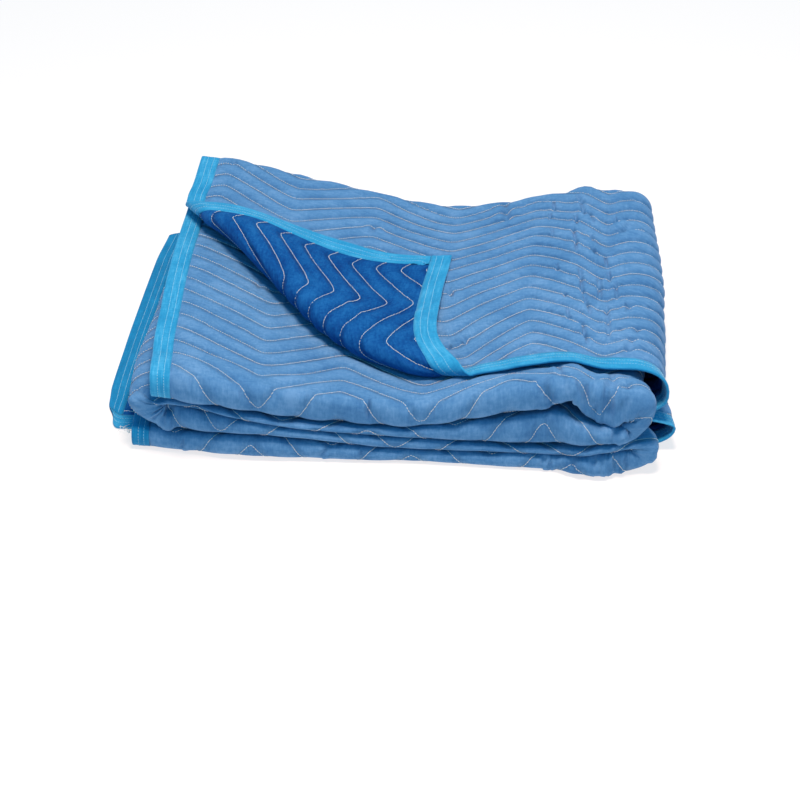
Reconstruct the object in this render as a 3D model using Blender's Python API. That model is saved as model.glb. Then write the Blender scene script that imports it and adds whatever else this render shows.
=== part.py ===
"""Quilted moving blanket, folded into a stack of sixteen plies.

Units are metres and +Z is up.  The blanket is worked out flat first: u runs along its
length, v along its width and h through its thickness, with +h towards the light face
cloth.  The flat quilt is cut along its creases and stitch rows, given its thickness,
and carried through three folds:

1. the corner of the outermost panel is turned back over a soft roll,
2. four panels are folded along the width, one inside the other (section),
3. the strip they make is folded to and fro in four packets (accordion).

The packets are then settled: heights and edges vary over the stack as in loose cloth.
X runs along the front of the stack, Y to its back, and the origin is the middle of
the footprint, on the surface that the stack lies on.
"""

import math

import bmesh
import bpy
import numpy as np
from mathutils import Matrix, Vector

COLLECTION = "moving_blanket"

# ---------------------------------------------------------------- driving dimensions
MM = 0.001

PLY = 3.3 * MM             # quilt thickness between stitch rows
STITCHED = 2.1 * MM        # quilt thickness on a stitch row
CORE = 1.6 * MM            # quilt edge squeezed inside the binding
PITCH = 4.2 * MM           # height that one ply takes up in the stack
PACKET_GAP = 0.4 * MM      # extra room between two packets
PACKET = 4 * PITCH + PACKET_GAP

FRONT = -235.0 * MM        # where the front rolls reach
BACK = 198.0 * MM          # where the back folds reach
ROLL_REACH = 1.3           # front rolls are this much deeper than they are round
INNER_EDGE_GAP = 4.0 * MM  # the innermost panel's edge stops short of the front roll
OUTER_EDGE = -190.0 * MM   # front edge of the outermost panel, set back from the roll

LEFT_EDGE_TOP = -235.0 * MM      # bound edge of the top packet
LEFT_EDGE_BOTTOM = -284.0 * MM   # bound edge of the bottom packet
RIGHT_FOLD = 230.0 * MM          # centre of both right folds
LEFT_FOLD = -211.0 * MM          # centre of the left fold of packets 2 and 3
UPPER_SPREAD = 1.7               # the upper right fold is wider than it is high
LOWER_SPREAD = 2.1               # the lower one is wider still
LEFT_SPREAD = 2.6                # and so is the left one
LOOSE = 12.0 * MM                # slack of the outermost ply round a right fold
RIGHT_TURN = 58.0 * MM           # cloth used by a right fold
LEFT_TURN = 75.0 * MM            # cloth used by the left fold

CORNER_START = (-237.0 * MM, 78.0 * MM)   # where the corner's roll crosses the left edge
CORNER_ANGLE = math.radians(-46.4)        # direction of the roll
CORNER_RADIUS = 10.0 * MM
CORNER_BOW = 22.0 * MM                    # the roll bows out this far at its middle
CORNER_SETTLE = 90.0 * MM                 # the corner sinks on to the cloth over this
CORNER_CLEAR = 4.0 * MM                   # and lies this far above it
CORNER_RUNG = 24.0 * MM                   # distance between cuts across its binding

ROW = 23.5 * MM            # distance between stitch rows
ZIG = 50.0 * MM            # height of the zigzag
ZIG_HALF = 82.5 * MM       # half of its wavelength
ZIG_START = 24.0 * MM      # first corner from the blanket's edge

BIND_WIDTH = 19.0 * MM     # how far the binding reaches in from the edge
BIND_WALL = 0.55 * MM      # its two thicknesses of tape
BIND_CLEAR = 0.3 * MM
BIND_RAMP = 4.7 * MM       # the quilt swells to full thickness over this

TURN_STEPS = 5
ROLL_STEPS = 4
INNER_STEPS = 3
OUTER_STEPS = 5
CORNER_STEPS = 5

# Heights of the packets, in millimetres: lower, middle and upper interface and the
# top, along the front (f) and over the rest of the stack (r).
#            x    f1   f2   f3  ftop   r1   r2   r3  rtop
SETTLE = (
    (-211.0, 24.0, 41.0, 56.0, 95.0, 22.0, 40.0, 57.0, 96.0),
    (-128.5, 21.0, 37.0, 46.0, 79.5, 18.5, 35.0, 50.5, 78.0),
    (-46.0, 16.5, 31.0, 42.5, 68.0, 16.5, 32.0, 47.5, 66.0),
    (36.5, 14.5, 28.5, 43.5, 67.5, 15.5, 31.0, 46.0, 65.0),
    (119.0, 16.0, 29.5, 60.0, 88.0, 17.0, 33.5, 51.0, 73.0),
    (170.0, 18.0, 31.5, 70.0, 100.0, 18.0, 36.0, 55.5, 81.0),
    (201.5, 20.0, 34.5, 59.0, 101.0, 19.0, 38.0, 58.5, 84.0),
    (230.0, 22.0, 37.0, 58.0, 97.0, 19.0, 38.0, 59.0, 85.0),
)
FRONT_BAND = (-160.0 * MM, -80.0 * MM, 20.0 * MM)   # rows where front fades into rest
FRONT_SHARE = (0.62, 0.25, 0.0)                     # and how much is left there

# ---------------------------------------------------------------- worked out from them
ROLL_RADIUS = PITCH
INNER_RADIUS = PITCH / 2
OUTER_RADIUS = 1.5 * PITCH
ROLL_Y = FRONT + ROLL_REACH * (ROLL_RADIUS + PLY / 2)
BACK_Y = BACK - (OUTER_RADIUS + PLY / 2)
PANEL = BACK_Y - ROLL_Y

V_INNER_BACK = PANEL - INNER_EDGE_GAP
V_SECOND = V_INNER_BACK + math.pi * INNER_RADIUS
V_ROLL = V_SECOND + PANEL
V_THIRD = V_ROLL + math.pi * ROLL_RADIUS
V_OUTER_BACK = V_THIRD + PANEL
V_FOURTH = V_OUTER_BACK + math.pi * OUTER_RADIUS
WIDTH_V = V_FOURTH + BACK_Y - OUTER_EDGE

U_TURN_1 = RIGHT_FOLD - LEFT_EDGE_TOP
U_PACKET_2 = U_TURN_1 + RIGHT_TURN
U_TURN_2 = U_PACKET_2 + RIGHT_FOLD - LEFT_FOLD
U_PACKET_3 = U_TURN_2 + LEFT_TURN
U_TURN_3 = U_PACKET_3 + RIGHT_FOLD - LEFT_FOLD
U_PACKET_4 = U_TURN_3 + RIGHT_TURN
LENGTH_U = U_PACKET_4 + RIGHT_FOLD - LEFT_EDGE_BOTTOM

# nominal heights of the three interfaces between packets, with the sole at zero
INTERFACE_3 = 4 * PITCH + PACKET_GAP / 2 - (PITCH - PLY) / 2
INTERFACE_2 = INTERFACE_3 + PACKET
INTERFACE_1 = INTERFACE_2 + PACKET
NOMINAL_TOP = INTERFACE_1 + PACKET_GAP / 2 + 4 * PITCH


# ---------------------------------------------------------------- the folds
def chords(turn, steps):
    """Sine and cosine of a half turn's angle, along a polygon of so many steps."""
    corners = np.linspace(0, math.pi, steps + 1)
    return np.interp(turn, corners, np.sin(corners)), np.interp(turn, corners, np.cos(corners))


def section(v, h):
    """Fold the panels along the width: (v, h) to (y, t), t being height in the strip."""
    y = np.empty_like(v)
    t = np.empty_like(v)

    part = v <= V_INNER_BACK
    y[part] = BACK_Y - (V_INNER_BACK - v[part])
    t[part] = 1.5 * PITCH - h[part]

    part = (v > V_INNER_BACK) & (v < V_SECOND)
    sine, cosine = chords((v[part] - V_INNER_BACK) / INNER_RADIUS, INNER_STEPS)
    y[part] = BACK_Y + (INNER_RADIUS + h[part]) * sine
    t[part] = 2 * PITCH - (INNER_RADIUS + h[part]) * cosine

    part = (v >= V_SECOND) & (v <= V_ROLL)
    y[part] = BACK_Y - (v[part] - V_SECOND)
    t[part] = 2.5 * PITCH + h[part]

    part = (v > V_ROLL) & (v < V_THIRD)
    sine, cosine = chords((v[part] - V_ROLL) / ROLL_RADIUS, ROLL_STEPS)
    y[part] = ROLL_Y - ROLL_REACH * (ROLL_RADIUS + h[part]) * sine
    t[part] = 1.5 * PITCH + (ROLL_RADIUS + h[part]) * cosine

    part = (v >= V_THIRD) & (v <= V_OUTER_BACK)
    y[part] = ROLL_Y + (v[part] - V_THIRD)
    t[part] = 0.5 * PITCH - h[part]

    part = (v > V_OUTER_BACK) & (v < V_FOURTH)
    sine, cosine = chords((v[part] - V_OUTER_BACK) / OUTER_RADIUS, OUTER_STEPS)
    y[part] = BACK_Y + (OUTER_RADIUS + h[part]) * sine
    t[part] = 2 * PITCH - (OUTER_RADIUS + h[part]) * cosine

    part = v >= V_FOURTH
    y[part] = BACK_Y - (v[part] - V_FOURTH)
    t[part] = 3.5 * PITCH + h[part]
    return y, t


def slack(v):
    """Slack of a ply round the right folds: the outermost panel's, towards its front."""
    return LOOSE * np.clip((v - V_FOURTH) / (BACK_Y - FRONT_BAND[2]), 0, 1)


def accordion(u, t, v):
    """Fold the strip to and fro: (u, t) to (x, z)."""
    x = np.empty_like(u)
    z = np.empty_like(u)
    half_gap = PACKET_GAP / 2
    inner = 3 * PITCH

    part = u <= U_TURN_1
    x[part] = LEFT_EDGE_TOP + u[part]
    z[part] = INTERFACE_1 + half_gap + t[part]

    for start, end, spread, level in (
        (U_TURN_1, U_PACKET_2, UPPER_SPREAD, INTERFACE_1),
        (U_TURN_3, U_PACKET_4, LOWER_SPREAD, INTERFACE_3),
    ):
        part = (u > start) & (u < end)
        sine, cosine = chords(math.pi * (u[part] - start) / (end - start), TURN_STEPS)
        radius = half_gap + t[part]
        reach = spread * np.minimum(radius, inner) + np.maximum(radius - inner, 0)
        x[part] = RIGHT_FOLD + (reach + slack(v[part])) * sine
        z[part] = level + radius * cosine

    part = (u >= U_PACKET_2) & (u <= U_TURN_2)
    x[part] = RIGHT_FOLD - (u[part] - U_PACKET_2)
    z[part] = INTERFACE_1 - half_gap - t[part]

    part = (u > U_TURN_2) & (u < U_PACKET_3)
    sine, cosine = chords(math.pi * (u[part] - U_TURN_2) / LEFT_TURN, TURN_STEPS)
    radius = half_gap + 4 * PITCH - t[part]
    x[part] = LEFT_FOLD - LEFT_SPREAD * radius * sine
    z[part] = INTERFACE_2 + radius * cosine

    part = (u >= U_PACKET_3) & (u <= U_TURN_3)
    x[part] = LEFT_FOLD + (u[part] - U_PACKET_3)
    z[part] = INTERFACE_3 + half_gap + t[part]

    part = u >= U_PACKET_4
    x[part] = RIGHT_FOLD - (u[part] - U_PACKET_4)
    z[part] = INTERFACE_3 - half_gap - t[part]
    return x, z


def turn_corner(x, y, z, u, v, h):
    """Turn the front left corner of the outermost panel back over a soft roll."""
    along = (math.cos(CORNER_ANGLE), math.sin(CORNER_ANGLE))
    back = (-along[1], along[0])
    rel_x = x - CORNER_START[0]
    rel_y = y - CORNER_START[1]
    run = rel_x * along[0] + rel_y * along[1]
    past = -(rel_x * back[0] + rel_y * back[1]) + CORNER_RADIUS

    panel = (u < U_TURN_1) & (v > V_FOURTH)
    turned = panel & (past > 0)
    arc = math.pi * CORNER_RADIUS
    sine, cosine = chords(past / CORNER_RADIUS, CORNER_STEPS)
    beyond = np.maximum(past - arc, 0)
    sink = np.clip(beyond / CORNER_SETTLE, 0, 1)
    drop = sink * (2 * CORNER_RADIUS - PLY - CORNER_CLEAR)
    offset = (CORNER_RADIUS - h) * sine - beyond
    rise = CORNER_RADIUS - (CORNER_RADIUS - h) * cosine - h - drop

    shift = np.where(turned, past - offset, 0.0)
    x = x + shift * back[0]
    y = y + shift * back[1]
    z = z + np.where(turned, rise, 0.0)

    span = (OUTER_EDGE - CORNER_START[1]) / along[1]
    middle = np.sin(math.pi * np.clip(run / span, 0, 1)) ** 2
    away = np.where(turned, offset, past)
    fade = np.exp(-((away - CORNER_RADIUS) / (6 * CORNER_RADIUS)) ** 2)
    bow = np.where(panel, CORNER_BOW * middle * fade, 0.0)
    turned_share = np.where(turned, np.clip(past / arc, 0, 1), 0.0)
    return x - bow * back[0], y - bow * back[1], z, turned_share


def lattice(x, y, xs, ys, heights):
    """Read a height off a grid of flat triangles."""
    i = np.clip(np.searchsorted(xs, x, side="right") - 1, 0, len(xs) - 2)
    j = np.clip(np.searchsorted(ys, y, side="right") - 1, 0, len(ys) - 2)
    a = np.clip((x - xs[i]) / (xs[i + 1] - xs[i]), 0, 1)
    b = np.clip((y - ys[j]) / (ys[j + 1] - ys[j]), 0, 1)
    low, right = heights[i, j], heights[i + 1, j]
    far, high = heights[i, j + 1], heights[i + 1, j + 1]
    lower = low + a * (right - low) + b * (high - right)
    upper = low + b * (far - low) + a * (high - far)
    return np.where(a > b, lower, upper)


def soft_curve(at, stations, values):
    """Smooth curve through the values, one at each station."""
    slopes = np.gradient(values, stations)
    i = np.clip(np.searchsorted(stations, at) - 1, 0, len(stations) - 2)
    width = stations[i + 1] - stations[i]
    s = np.clip((at - stations[i]) / width, 0, 1)
    start = values[i] + s * s * (3 - 2 * s) * (values[i + 1] - values[i])
    return start + width * s * (1 - s) * ((1 - s) * slopes[i] - s * slopes[i + 1])


def settle(x, y, z, turned_share):
    """Let the packets settle to the uneven heights of the table.

    The turned corner lies on a smooth surface, as it does not follow their creases.
    """
    table = np.array(SETTLE) * MM
    xs = table[:, 0]
    ys = np.array((ROLL_Y, *FRONT_BAND, BACK_Y))
    share = np.array((1.0, *FRONT_SHARE, 0.0))
    levels = (INTERFACE_3, INTERFACE_2, INTERFACE_1, NOMINAL_TOP)
    below_level = np.zeros_like(z)
    below = np.zeros_like(z)
    settled = np.zeros_like(z)
    for column, level in enumerate(levels):
        front = table[:, 1 + column][:, None]
        rest = table[:, 5 + column][:, None]
        height = lattice(x, y, xs, ys, rest + (front - rest) * share)
        part = (z >= below_level) if column else np.ones(len(z), bool)
        scale = (height - below) / (level - below_level)
        settled = np.where(part, below + (z - below_level) * scale, settled)
        below_level = np.full_like(z, level)
        below = height
    above = z > NOMINAL_TOP
    rest = soft_curve(x, xs, table[:, 8])
    front = soft_curve(x, xs, table[:, 4])
    smooth = rest + (front - rest) * soft_curve(y, ys, share)
    below = below + (smooth - below) * turned_share
    return np.where(above, below + z - NOMINAL_TOP, settled)


def folded(points):
    """Carry flat points (u, v, h) to their places in the folded blanket."""
    u, v, h = points.T
    y, t = section(v, h)
    x, z = accordion(u, t, v)
    x, y, z, turned_share = turn_corner(x, y, z, u, v, h)
    z = settle(x, y, z, turned_share)
    return np.column_stack((x, y, z))


# ---------------------------------------------------------------- the flat quilt
def zigzag(u):
    """Offset of the stitch rows along v."""
    phase = (u - ZIG_START) / (2 * ZIG_HALF)
    saw = np.abs(2 * (phase - np.floor(phase)) - 1)
    return ZIG * (1 - saw)


def stations_u():
    """Creases and bends across the length."""
    cuts = set()
    for row in SETTLE:
        x = row[0] * MM
        cuts.add(x - LEFT_EDGE_TOP)
        cuts.add(U_PACKET_2 + RIGHT_FOLD - x)
        cuts.add(U_PACKET_3 + x - LEFT_FOLD)
        cuts.add(U_PACKET_4 + RIGHT_FOLD - x)
    for start, end in ((U_TURN_1, U_PACKET_2), (U_TURN_2, U_PACKET_3),
                       (U_TURN_3, U_PACKET_4)):
        cuts.update(start + (end - start) * i / TURN_STEPS for i in range(1, TURN_STEPS))
    return cuts


def stations_v():
    """Creases and bends across the width."""
    cuts = set()
    for y in FRONT_BAND:
        cuts.add(V_INNER_BACK - (BACK_Y - y))
        cuts.add(V_SECOND + BACK_Y - y)
        cuts.add(V_THIRD + y - ROLL_Y)
        cuts.add(V_FOURTH + BACK_Y - y)
    for start, end, steps in ((V_INNER_BACK, V_SECOND, INNER_STEPS),
                              (V_ROLL, V_THIRD, ROLL_STEPS),
                              (V_OUTER_BACK, V_FOURTH, OUTER_STEPS)):
        cuts.update(start + (end - start) * i / steps for i in range(steps + 1))
    return cuts


def corner_lines():
    """Lines (point, normal) in flat u and v along which the turned corner bends."""
    across = (-math.sin(CORNER_ANGLE), math.cos(CORNER_ANGLE))
    start_u = CORNER_START[0] - LEFT_EDGE_TOP
    start_v = V_FOURTH + BACK_Y - CORNER_START[1]
    arc = math.pi * CORNER_RADIUS
    steps = [arc * i / CORNER_STEPS for i in range(CORNER_STEPS + 1)]
    steps += [-4 * CORNER_RADIUS, arc + CORNER_SETTLE]
    lines = []
    for past in steps:
        move = CORNER_RADIUS - past
        point = (start_u + move * across[0], start_v - move * across[1], 0)
        lines.append((point, (across[0], -across[1], 0)))
    return lines


def cut(bm, point, normal, inside=None):
    """Cut the sheet along a line, or only its faces whose centre is inside."""
    faces = [f for f in bm.faces if inside is None or inside(f.calc_center_median())]
    edges = {e for f in faces for e in f.edges}
    verts = {w for f in faces for w in f.verts}
    bmesh.ops.bisect_plane(bm, geom=list(verts) + list(edges) + faces, dist=1e-6,
                           plane_co=point, plane_no=normal)


def rectangle(width, height):
    """A flat sheet of one face, with a corner at the origin."""
    bm = bmesh.new()
    bmesh.ops.create_grid(bm, x_segments=1, y_segments=1, size=0.5)
    for vert in bm.verts:
        vert.co.x = (vert.co.x + 0.5) * width
        vert.co.y = (vert.co.y + 0.5) * height
    return bm


def in_corner_panel(centre):
    return centre.x < U_TURN_1 and centre.y > V_FOURTH


def turned_rungs():
    """Cuts across the two bound edges of the turned corner: in v and in u."""
    start = V_FOURTH + BACK_Y - CORNER_START[1]
    rungs_v = np.arange(start + CORNER_RUNG, WIDTH_V - BIND_WIDTH, CORNER_RUNG)
    rungs_u = np.arange(CORNER_RUNG, (WIDTH_V - start) / -math.tan(CORNER_ANGLE), CORNER_RUNG)
    return rungs_v, rungs_u


def quilted(centre):
    """The panels of the top packet that show, where the stitch rows are raised."""
    rim = BIND_WIDTH + BIND_CLEAR
    if not rim < centre.x < U_TURN_1:
        return False
    if centre.y > V_FOURTH:
        return centre.y < WIDTH_V - rim
    x = LEFT_EDGE_TOP + centre.x - CORNER_START[0]
    y = BACK_Y - (centre.y - V_SECOND)
    under_corner = y - CORNER_START[1] < x * math.tan(CORNER_ANGLE)
    return V_SECOND < centre.y < V_ROLL and (under_corner or y < FRONT_BAND[0])


def cut_rows(bm):
    """Cut the panels that show along their stitch rows and midway between them."""
    legs = math.ceil(LENGTH_U / ZIG_HALF)
    first = -math.ceil(ZIG / ROW)
    for leg in range(-1, legs):
        low = ZIG_START + leg * ZIG_HALF
        high = low + ZIG_HALF

        def inside(centre):
            return low < centre.x < high and quilted(centre)

        cut(bm, (high, 0, 0), (1, 0, 0), quilted)
        rise = ZIG if leg % 2 == 0 else -ZIG
        offset = 0.0 if leg % 2 == 0 else ZIG
        for half_row in range(2 * first, 2 * math.ceil(WIDTH_V / ROW)):
            point = (low, half_row * ROW / 2 + offset, 0)
            cut(bm, point, (-rise, ZIG_HALF, 0), inside)


def thickness(u, v):
    """Thickness of the quilt: thin on a stitch row and under the binding."""
    edge = min(u, LENGTH_U - u, v, WIDTH_V - v) - BIND_WIDTH - BIND_CLEAR
    swell = min(max(edge / BIND_RAMP, 0.0), 1.0)
    full = PLY
    if quilted(Vector((u, v, 0))):
        row = (v - zigzag(u)) / ROW
        full = STITCHED + (PLY - STITCHED) * abs(math.sin(math.pi * row))
    return CORE + (full - CORE) * swell


def finish(bm, name, colour, points):
    """Put the sheet's points in their folded places and make it an object."""
    for vert, place in zip(bm.verts, folded(np.array(points))):
        vert.co = place
    for face in [f for f in bm.faces if len(f.verts) == 4]:
        loops = sorted(face.verts, key=lambda w: w.co.x + w.co.y)
        first, last = loops[0], loops[-1]
        if not any(first in e.verts and last in e.verts for e in face.edges):
            bmesh.utils.face_split(face, first, last)
    bmesh.ops.triangulate(bm, faces=bm.faces)
    bmesh.ops.recalc_face_normals(bm, faces=bm.faces)
    mesh = bpy.data.meshes.new(name)
    bm.to_mesh(mesh)
    bm.free()
    material = bpy.data.materials.new(name + "_cloth")
    material.use_nodes = True
    shader = material.node_tree.nodes["Principled BSDF"]
    shader.inputs["Base Color"].default_value = (*colour, 1.0)
    shader.inputs["Roughness"].default_value = 0.9
    shader.inputs["Metallic"].default_value = 0.0
    mesh.materials.append(material)
    mesh.shade_smooth()
    mesh.set_sharp_from_angle(angle=math.radians(50))
    bpy.data.collections[COLLECTION].objects.link(bpy.data.objects.new(name, mesh))


def thicken(bm):
    """Turn a flat sheet into a closed skin, its light side at z = 1."""
    bmesh.ops.solidify(bm, geom=bm.faces[:], thickness=1.0)
    bottom = min(vert.co.z for vert in bm.verts)
    for vert in bm.verts:
        vert.co.z -= bottom
    bm.verts.ensure_lookup_table()


def make_panel():
    """The quilt: light face, backing and wadding stitched as one cloth."""
    bm = rectangle(LENGTH_U, WIDTH_V)
    rim = BIND_WIDTH + BIND_CLEAR
    borders = {rim, LENGTH_U - rim - BIND_RAMP, LENGTH_U - rim}
    for u in sorted(stations_u() | borders):
        cut(bm, (u, 0, 0), (1, 0, 0))
    borders = {rim, rim + BIND_RAMP, WIDTH_V - rim - BIND_RAMP, WIDTH_V - rim}
    for v in sorted(stations_v() | borders):
        cut(bm, (0, v, 0), (0, 1, 0))
    for point, normal in corner_lines():
        cut(bm, point, normal, in_corner_panel)
    rungs_v, rungs_u = turned_rungs()
    for v in rungs_v:
        cut(bm, (0, v, 0), (0, 1, 0), lambda c: in_corner_panel(c) and c.x < rim)
    for u in rungs_u:
        cut(bm, (u, 0, 0), (1, 0, 0), lambda c: in_corner_panel(c) and c.y > WIDTH_V - rim)
    cut_rows(bm)
    thicken(bm)
    points = []
    for vert in bm.verts:
        u, v = vert.co.x, vert.co.y
        points.append((u, v, (vert.co.z - 0.5) * thickness(u, v)))
    finish(bm, "quilt_panel", (0.115, 0.27, 0.56), points)


def make_binding(name, along_u, far_side):
    """One side's tape, folded round the quilt's edge.

    The tape is cut flat as a strip, x round the edge and y along it, and each of its
    points is then placed at a distance in from the edge and a height.
    """
    beyond = BIND_CLEAR + BIND_WALL
    half_edge = CORE / 2 + BIND_CLEAR
    if along_u:
        start, end = -beyond, LENGTH_U + beyond
        stations = stations_u()
    else:
        start, end = BIND_WIDTH + BIND_CLEAR, WIDTH_V - BIND_WIDTH - BIND_CLEAR
        stations = stations_v()
    wall_width = BIND_CLEAR + BIND_WIDTH
    reach = half_edge + wall_width
    bm = rectangle(2 * reach, end - start)
    for side in (-half_edge, half_edge):
        cut(bm, (reach + side, 0, 0), (1, 0, 0))
    for station in sorted(stations):
        if start < station < end:
            cut(bm, (0, station - start, 0), (0, 1, 0))
    if along_u == far_side:
        def in_panel(centre):
            run = centre.y + start
            return run < U_TURN_1 if along_u else run > V_FOURTH

        for run in turned_rungs()[1 if along_u else 0]:
            cut(bm, (0, run - start, 0), (0, 1, 0), in_panel)
        for point, normal in corner_lines():
            cut_tape(bm, point, normal, along_u, start, reach, half_edge, in_panel)
    thicken(bm)
    points = []
    for vert in bm.verts:
        round_edge = vert.co.x - reach
        wall = BIND_WALL * (1 - vert.co.z)
        inward = max(abs(round_edge) - half_edge, 0.0)
        depth = inward - BIND_CLEAR - wall * (1 - inward / wall_width)
        h = (half_edge + wall) * min(max(round_edge / half_edge, -1), 1)
        run = vert.co.y + start
        if along_u:
            points.append((run, WIDTH_V - depth if far_side else depth, h))
        else:
            points.append((LENGTH_U - depth if far_side else depth, run, h))
    finish(bm, name, (0.035, 0.36, 0.68), points)


def cut_tape(bm, point, normal, along_u, start, reach, half_edge, in_panel):
    """Cut both walls of a tape along a line given in flat u and v, and its edge."""
    for side in (-1, 1):
        rim = reach + side * half_edge
        if along_u:
            inward = WIDTH_V - point[1]
            tape_point = (rim + side * (inward + BIND_CLEAR), point[0] - start, 0)
            tape_normal = (-side * normal[1], normal[0], 0)
        else:
            tape_point = (rim + side * (point[0] + BIND_CLEAR), point[1] - start, 0)
            tape_normal = (side * normal[0], normal[1], 0)
        cut(bm, tape_point, tape_normal, lambda c: in_panel(c) and (c.x - rim) * side > 0)
    crossing = tape_point[1] + tape_normal[0] * (tape_point[0] - rim) / tape_normal[1]
    cut(bm, (0, crossing, 0), (0, 1, 0),
        lambda c: in_panel(c) and abs(c.x - reach) < half_edge)


def centre_footprint(objects):
    """Move all pieces so that the origin is the middle of their footprint."""
    places = [np.array([v.co for v in ob.data.vertices]) for ob in objects]
    low = np.min([place.min(axis=0) for place in places], axis=0)
    high = np.max([place.max(axis=0) for place in places], axis=0)
    middle = (low + high) / 2
    for ob in objects:
        ob.data.transform(Matrix.Translation((-middle[0], -middle[1], -low[2])))


def main():
    for ob in list(bpy.context.scene.objects):
        bpy.data.objects.remove(ob, do_unlink=True)
    collection = bpy.data.collections.new(COLLECTION)
    bpy.context.scene.collection.children.link(collection)
    make_panel()
    make_binding("left_binding", along_u=False, far_side=False)
    make_binding("right_binding", along_u=False, far_side=True)
    make_binding("inner_binding", along_u=True, far_side=False)
    make_binding("outer_binding", along_u=True, far_side=True)
    centre_footprint(collection.objects)


main()
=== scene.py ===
"""Looks of the folded quilted moving blanket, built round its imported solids.

The blanket is worked out flat, as in the solids, but finer: u runs along its length and
v along its width.  A fine sheet is carried through the same folds, settled to uneven
heights, shifted to its uneven outlines and given its creases.
"""

import math

import bmesh
import bpy
import numpy as np
from mathutils import Matrix, Vector
from mathutils.bvhtree import BVHTree


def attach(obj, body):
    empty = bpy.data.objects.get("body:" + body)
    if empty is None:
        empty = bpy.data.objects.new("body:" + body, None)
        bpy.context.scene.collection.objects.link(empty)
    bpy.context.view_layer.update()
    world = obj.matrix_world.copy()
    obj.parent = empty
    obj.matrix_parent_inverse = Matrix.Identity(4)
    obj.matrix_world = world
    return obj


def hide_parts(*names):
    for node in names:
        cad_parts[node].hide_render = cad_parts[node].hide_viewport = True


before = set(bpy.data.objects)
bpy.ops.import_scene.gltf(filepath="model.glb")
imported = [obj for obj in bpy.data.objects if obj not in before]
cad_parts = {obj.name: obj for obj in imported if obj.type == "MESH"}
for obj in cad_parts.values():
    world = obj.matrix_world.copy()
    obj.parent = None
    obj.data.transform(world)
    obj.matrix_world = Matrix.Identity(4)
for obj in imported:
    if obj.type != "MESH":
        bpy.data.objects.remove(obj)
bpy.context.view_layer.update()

MM = 0.001
# driving dimensions (mm), the same as the solids'
PLY, STITCHED, CORE = 3.4, 2.0, 1.6  # thickness between rows, on a row, under the tapes
PITCH, PACKET_GAP = 4.2, 0.4  # from one ply to the next, and between packets
FRONT, BACK = -235.0, 198.0  # y of the folded strip's front and back
ROLL_REACH = 1.3  # bulge of the front rolls, a round fold being 1
INNER_EDGE_GAP = 4.0  # how much shorter the innermost panel is
OUTER_EDGE = -190.0  # y of the outermost panel's free edge
LEFT_TOP, LEFT_BOTTOM = -235.0, -284.0  # x of the left edge, top and lowest packet
RIGHT_FOLD, LEFT_FOLD = 230.0, -211.0  # x where the packets start to turn
UPPER_SPREAD, LOWER_SPREAD, LEFT_SPREAD = 1.7, 2.1, 2.6  # bulge of the three turns
LOOSE = 12.0  # how far the outermost panel's loops stand out
RIGHT_TURN, LEFT_TURN = 58.0, 75.0  # cloth taken by a turn
ROW, ZIG, ZIG_HALF, ZIG_START = 23.5, 50.0, 82.5, 24.0  # stitch rows: spacing and zigzag
ZIG_DRIFT = 2.3  # how much longer the outermost panel's zigzags are
BIND = 19.0  # width of the tapes on each face
SHIFT = (7.3, 18.7)  # moves the blanket onto the solids
FOLD_SKIN = 1.65  # from the cloth's middle to the outside of a fold

R_ROLL, R_IN, R_OUT = PITCH, PITCH / 2, 1.5 * PITCH
ROLL_Y = FRONT + ROLL_REACH * (R_ROLL + FOLD_SKIN)
BACK_Y = BACK - (R_OUT + FOLD_SKIN)
PANEL = BACK_Y - ROLL_Y
# flat places along the width: V1 ends the innermost panel, V2 starts the second, V3 ends it
V1 = PANEL - INNER_EDGE_GAP
V2 = V1 + math.pi * R_IN
V3 = V2 + PANEL
V4 = V3 + math.pi * R_ROLL
V5 = V4 + PANEL
V6 = V5 + math.pi * R_OUT
WIDE = V6 + BACK_Y - OUTER_EDGE
# and along the length: U1 ends the top packet, U2 starts the second, U3 ends it
U1 = RIGHT_FOLD - LEFT_TOP
U2 = U1 + RIGHT_TURN
U3 = U2 + RIGHT_FOLD - LEFT_FOLD
U4 = U3 + LEFT_TURN
U5 = U4 + RIGHT_FOLD - LEFT_FOLD
U6 = U5 + RIGHT_TURN
LONG = U6 + RIGHT_FOLD - LEFT_BOTTOM
# heights between the packets, I3 the lowest, and of the top, before settling
I3 = 4 * PITCH + PACKET_GAP / 2
I2 = I3 + 4 * PITCH + PACKET_GAP
I1 = I2 + 4 * PITCH + PACKET_GAP
TOP = I1 + PACKET_GAP / 2 + 4 * PITCH

rng = np.random.default_rng(7)


def soft(at, stations, values):
    """Smooth curve through the values, one at each station, level beyond them."""
    xs, ys = np.asarray(stations, float), np.asarray(values, float)
    at = np.clip(at, xs[0], xs[-1])
    slopes = np.gradient(ys, xs)
    step = np.diff(ys) / np.diff(xs)
    for k in range(1, len(xs) - 1):
        if step[k - 1] * step[k] <= 0:
            slopes[k] = 0.0
    slopes[0] = slopes[-1] = 0.0
    i = np.clip(np.searchsorted(xs, at, side="right") - 1, 0, len(xs) - 2)
    w = xs[i + 1] - xs[i]
    s = (at - xs[i]) / w
    body = ys[i] + s * s * (3 - 2 * s) * (ys[i + 1] - ys[i])
    return body + w * s * (1 - s) * ((1 - s) * slopes[i] - s * slopes[i + 1])


def curve(at, table):
    """The same through a table of (station, value)."""
    return soft(at, *zip(*table))


def ease(x, low, high):
    """From nought at low to one at high, smooth at both."""
    s = np.clip((x - low) / (high - low), 0, 1)
    return s * s * (3 - 2 * s)


def bump(x, middle, width):
    """One at the middle, falling off softly."""
    return np.exp(-((x - middle) / width) ** 2)


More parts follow.
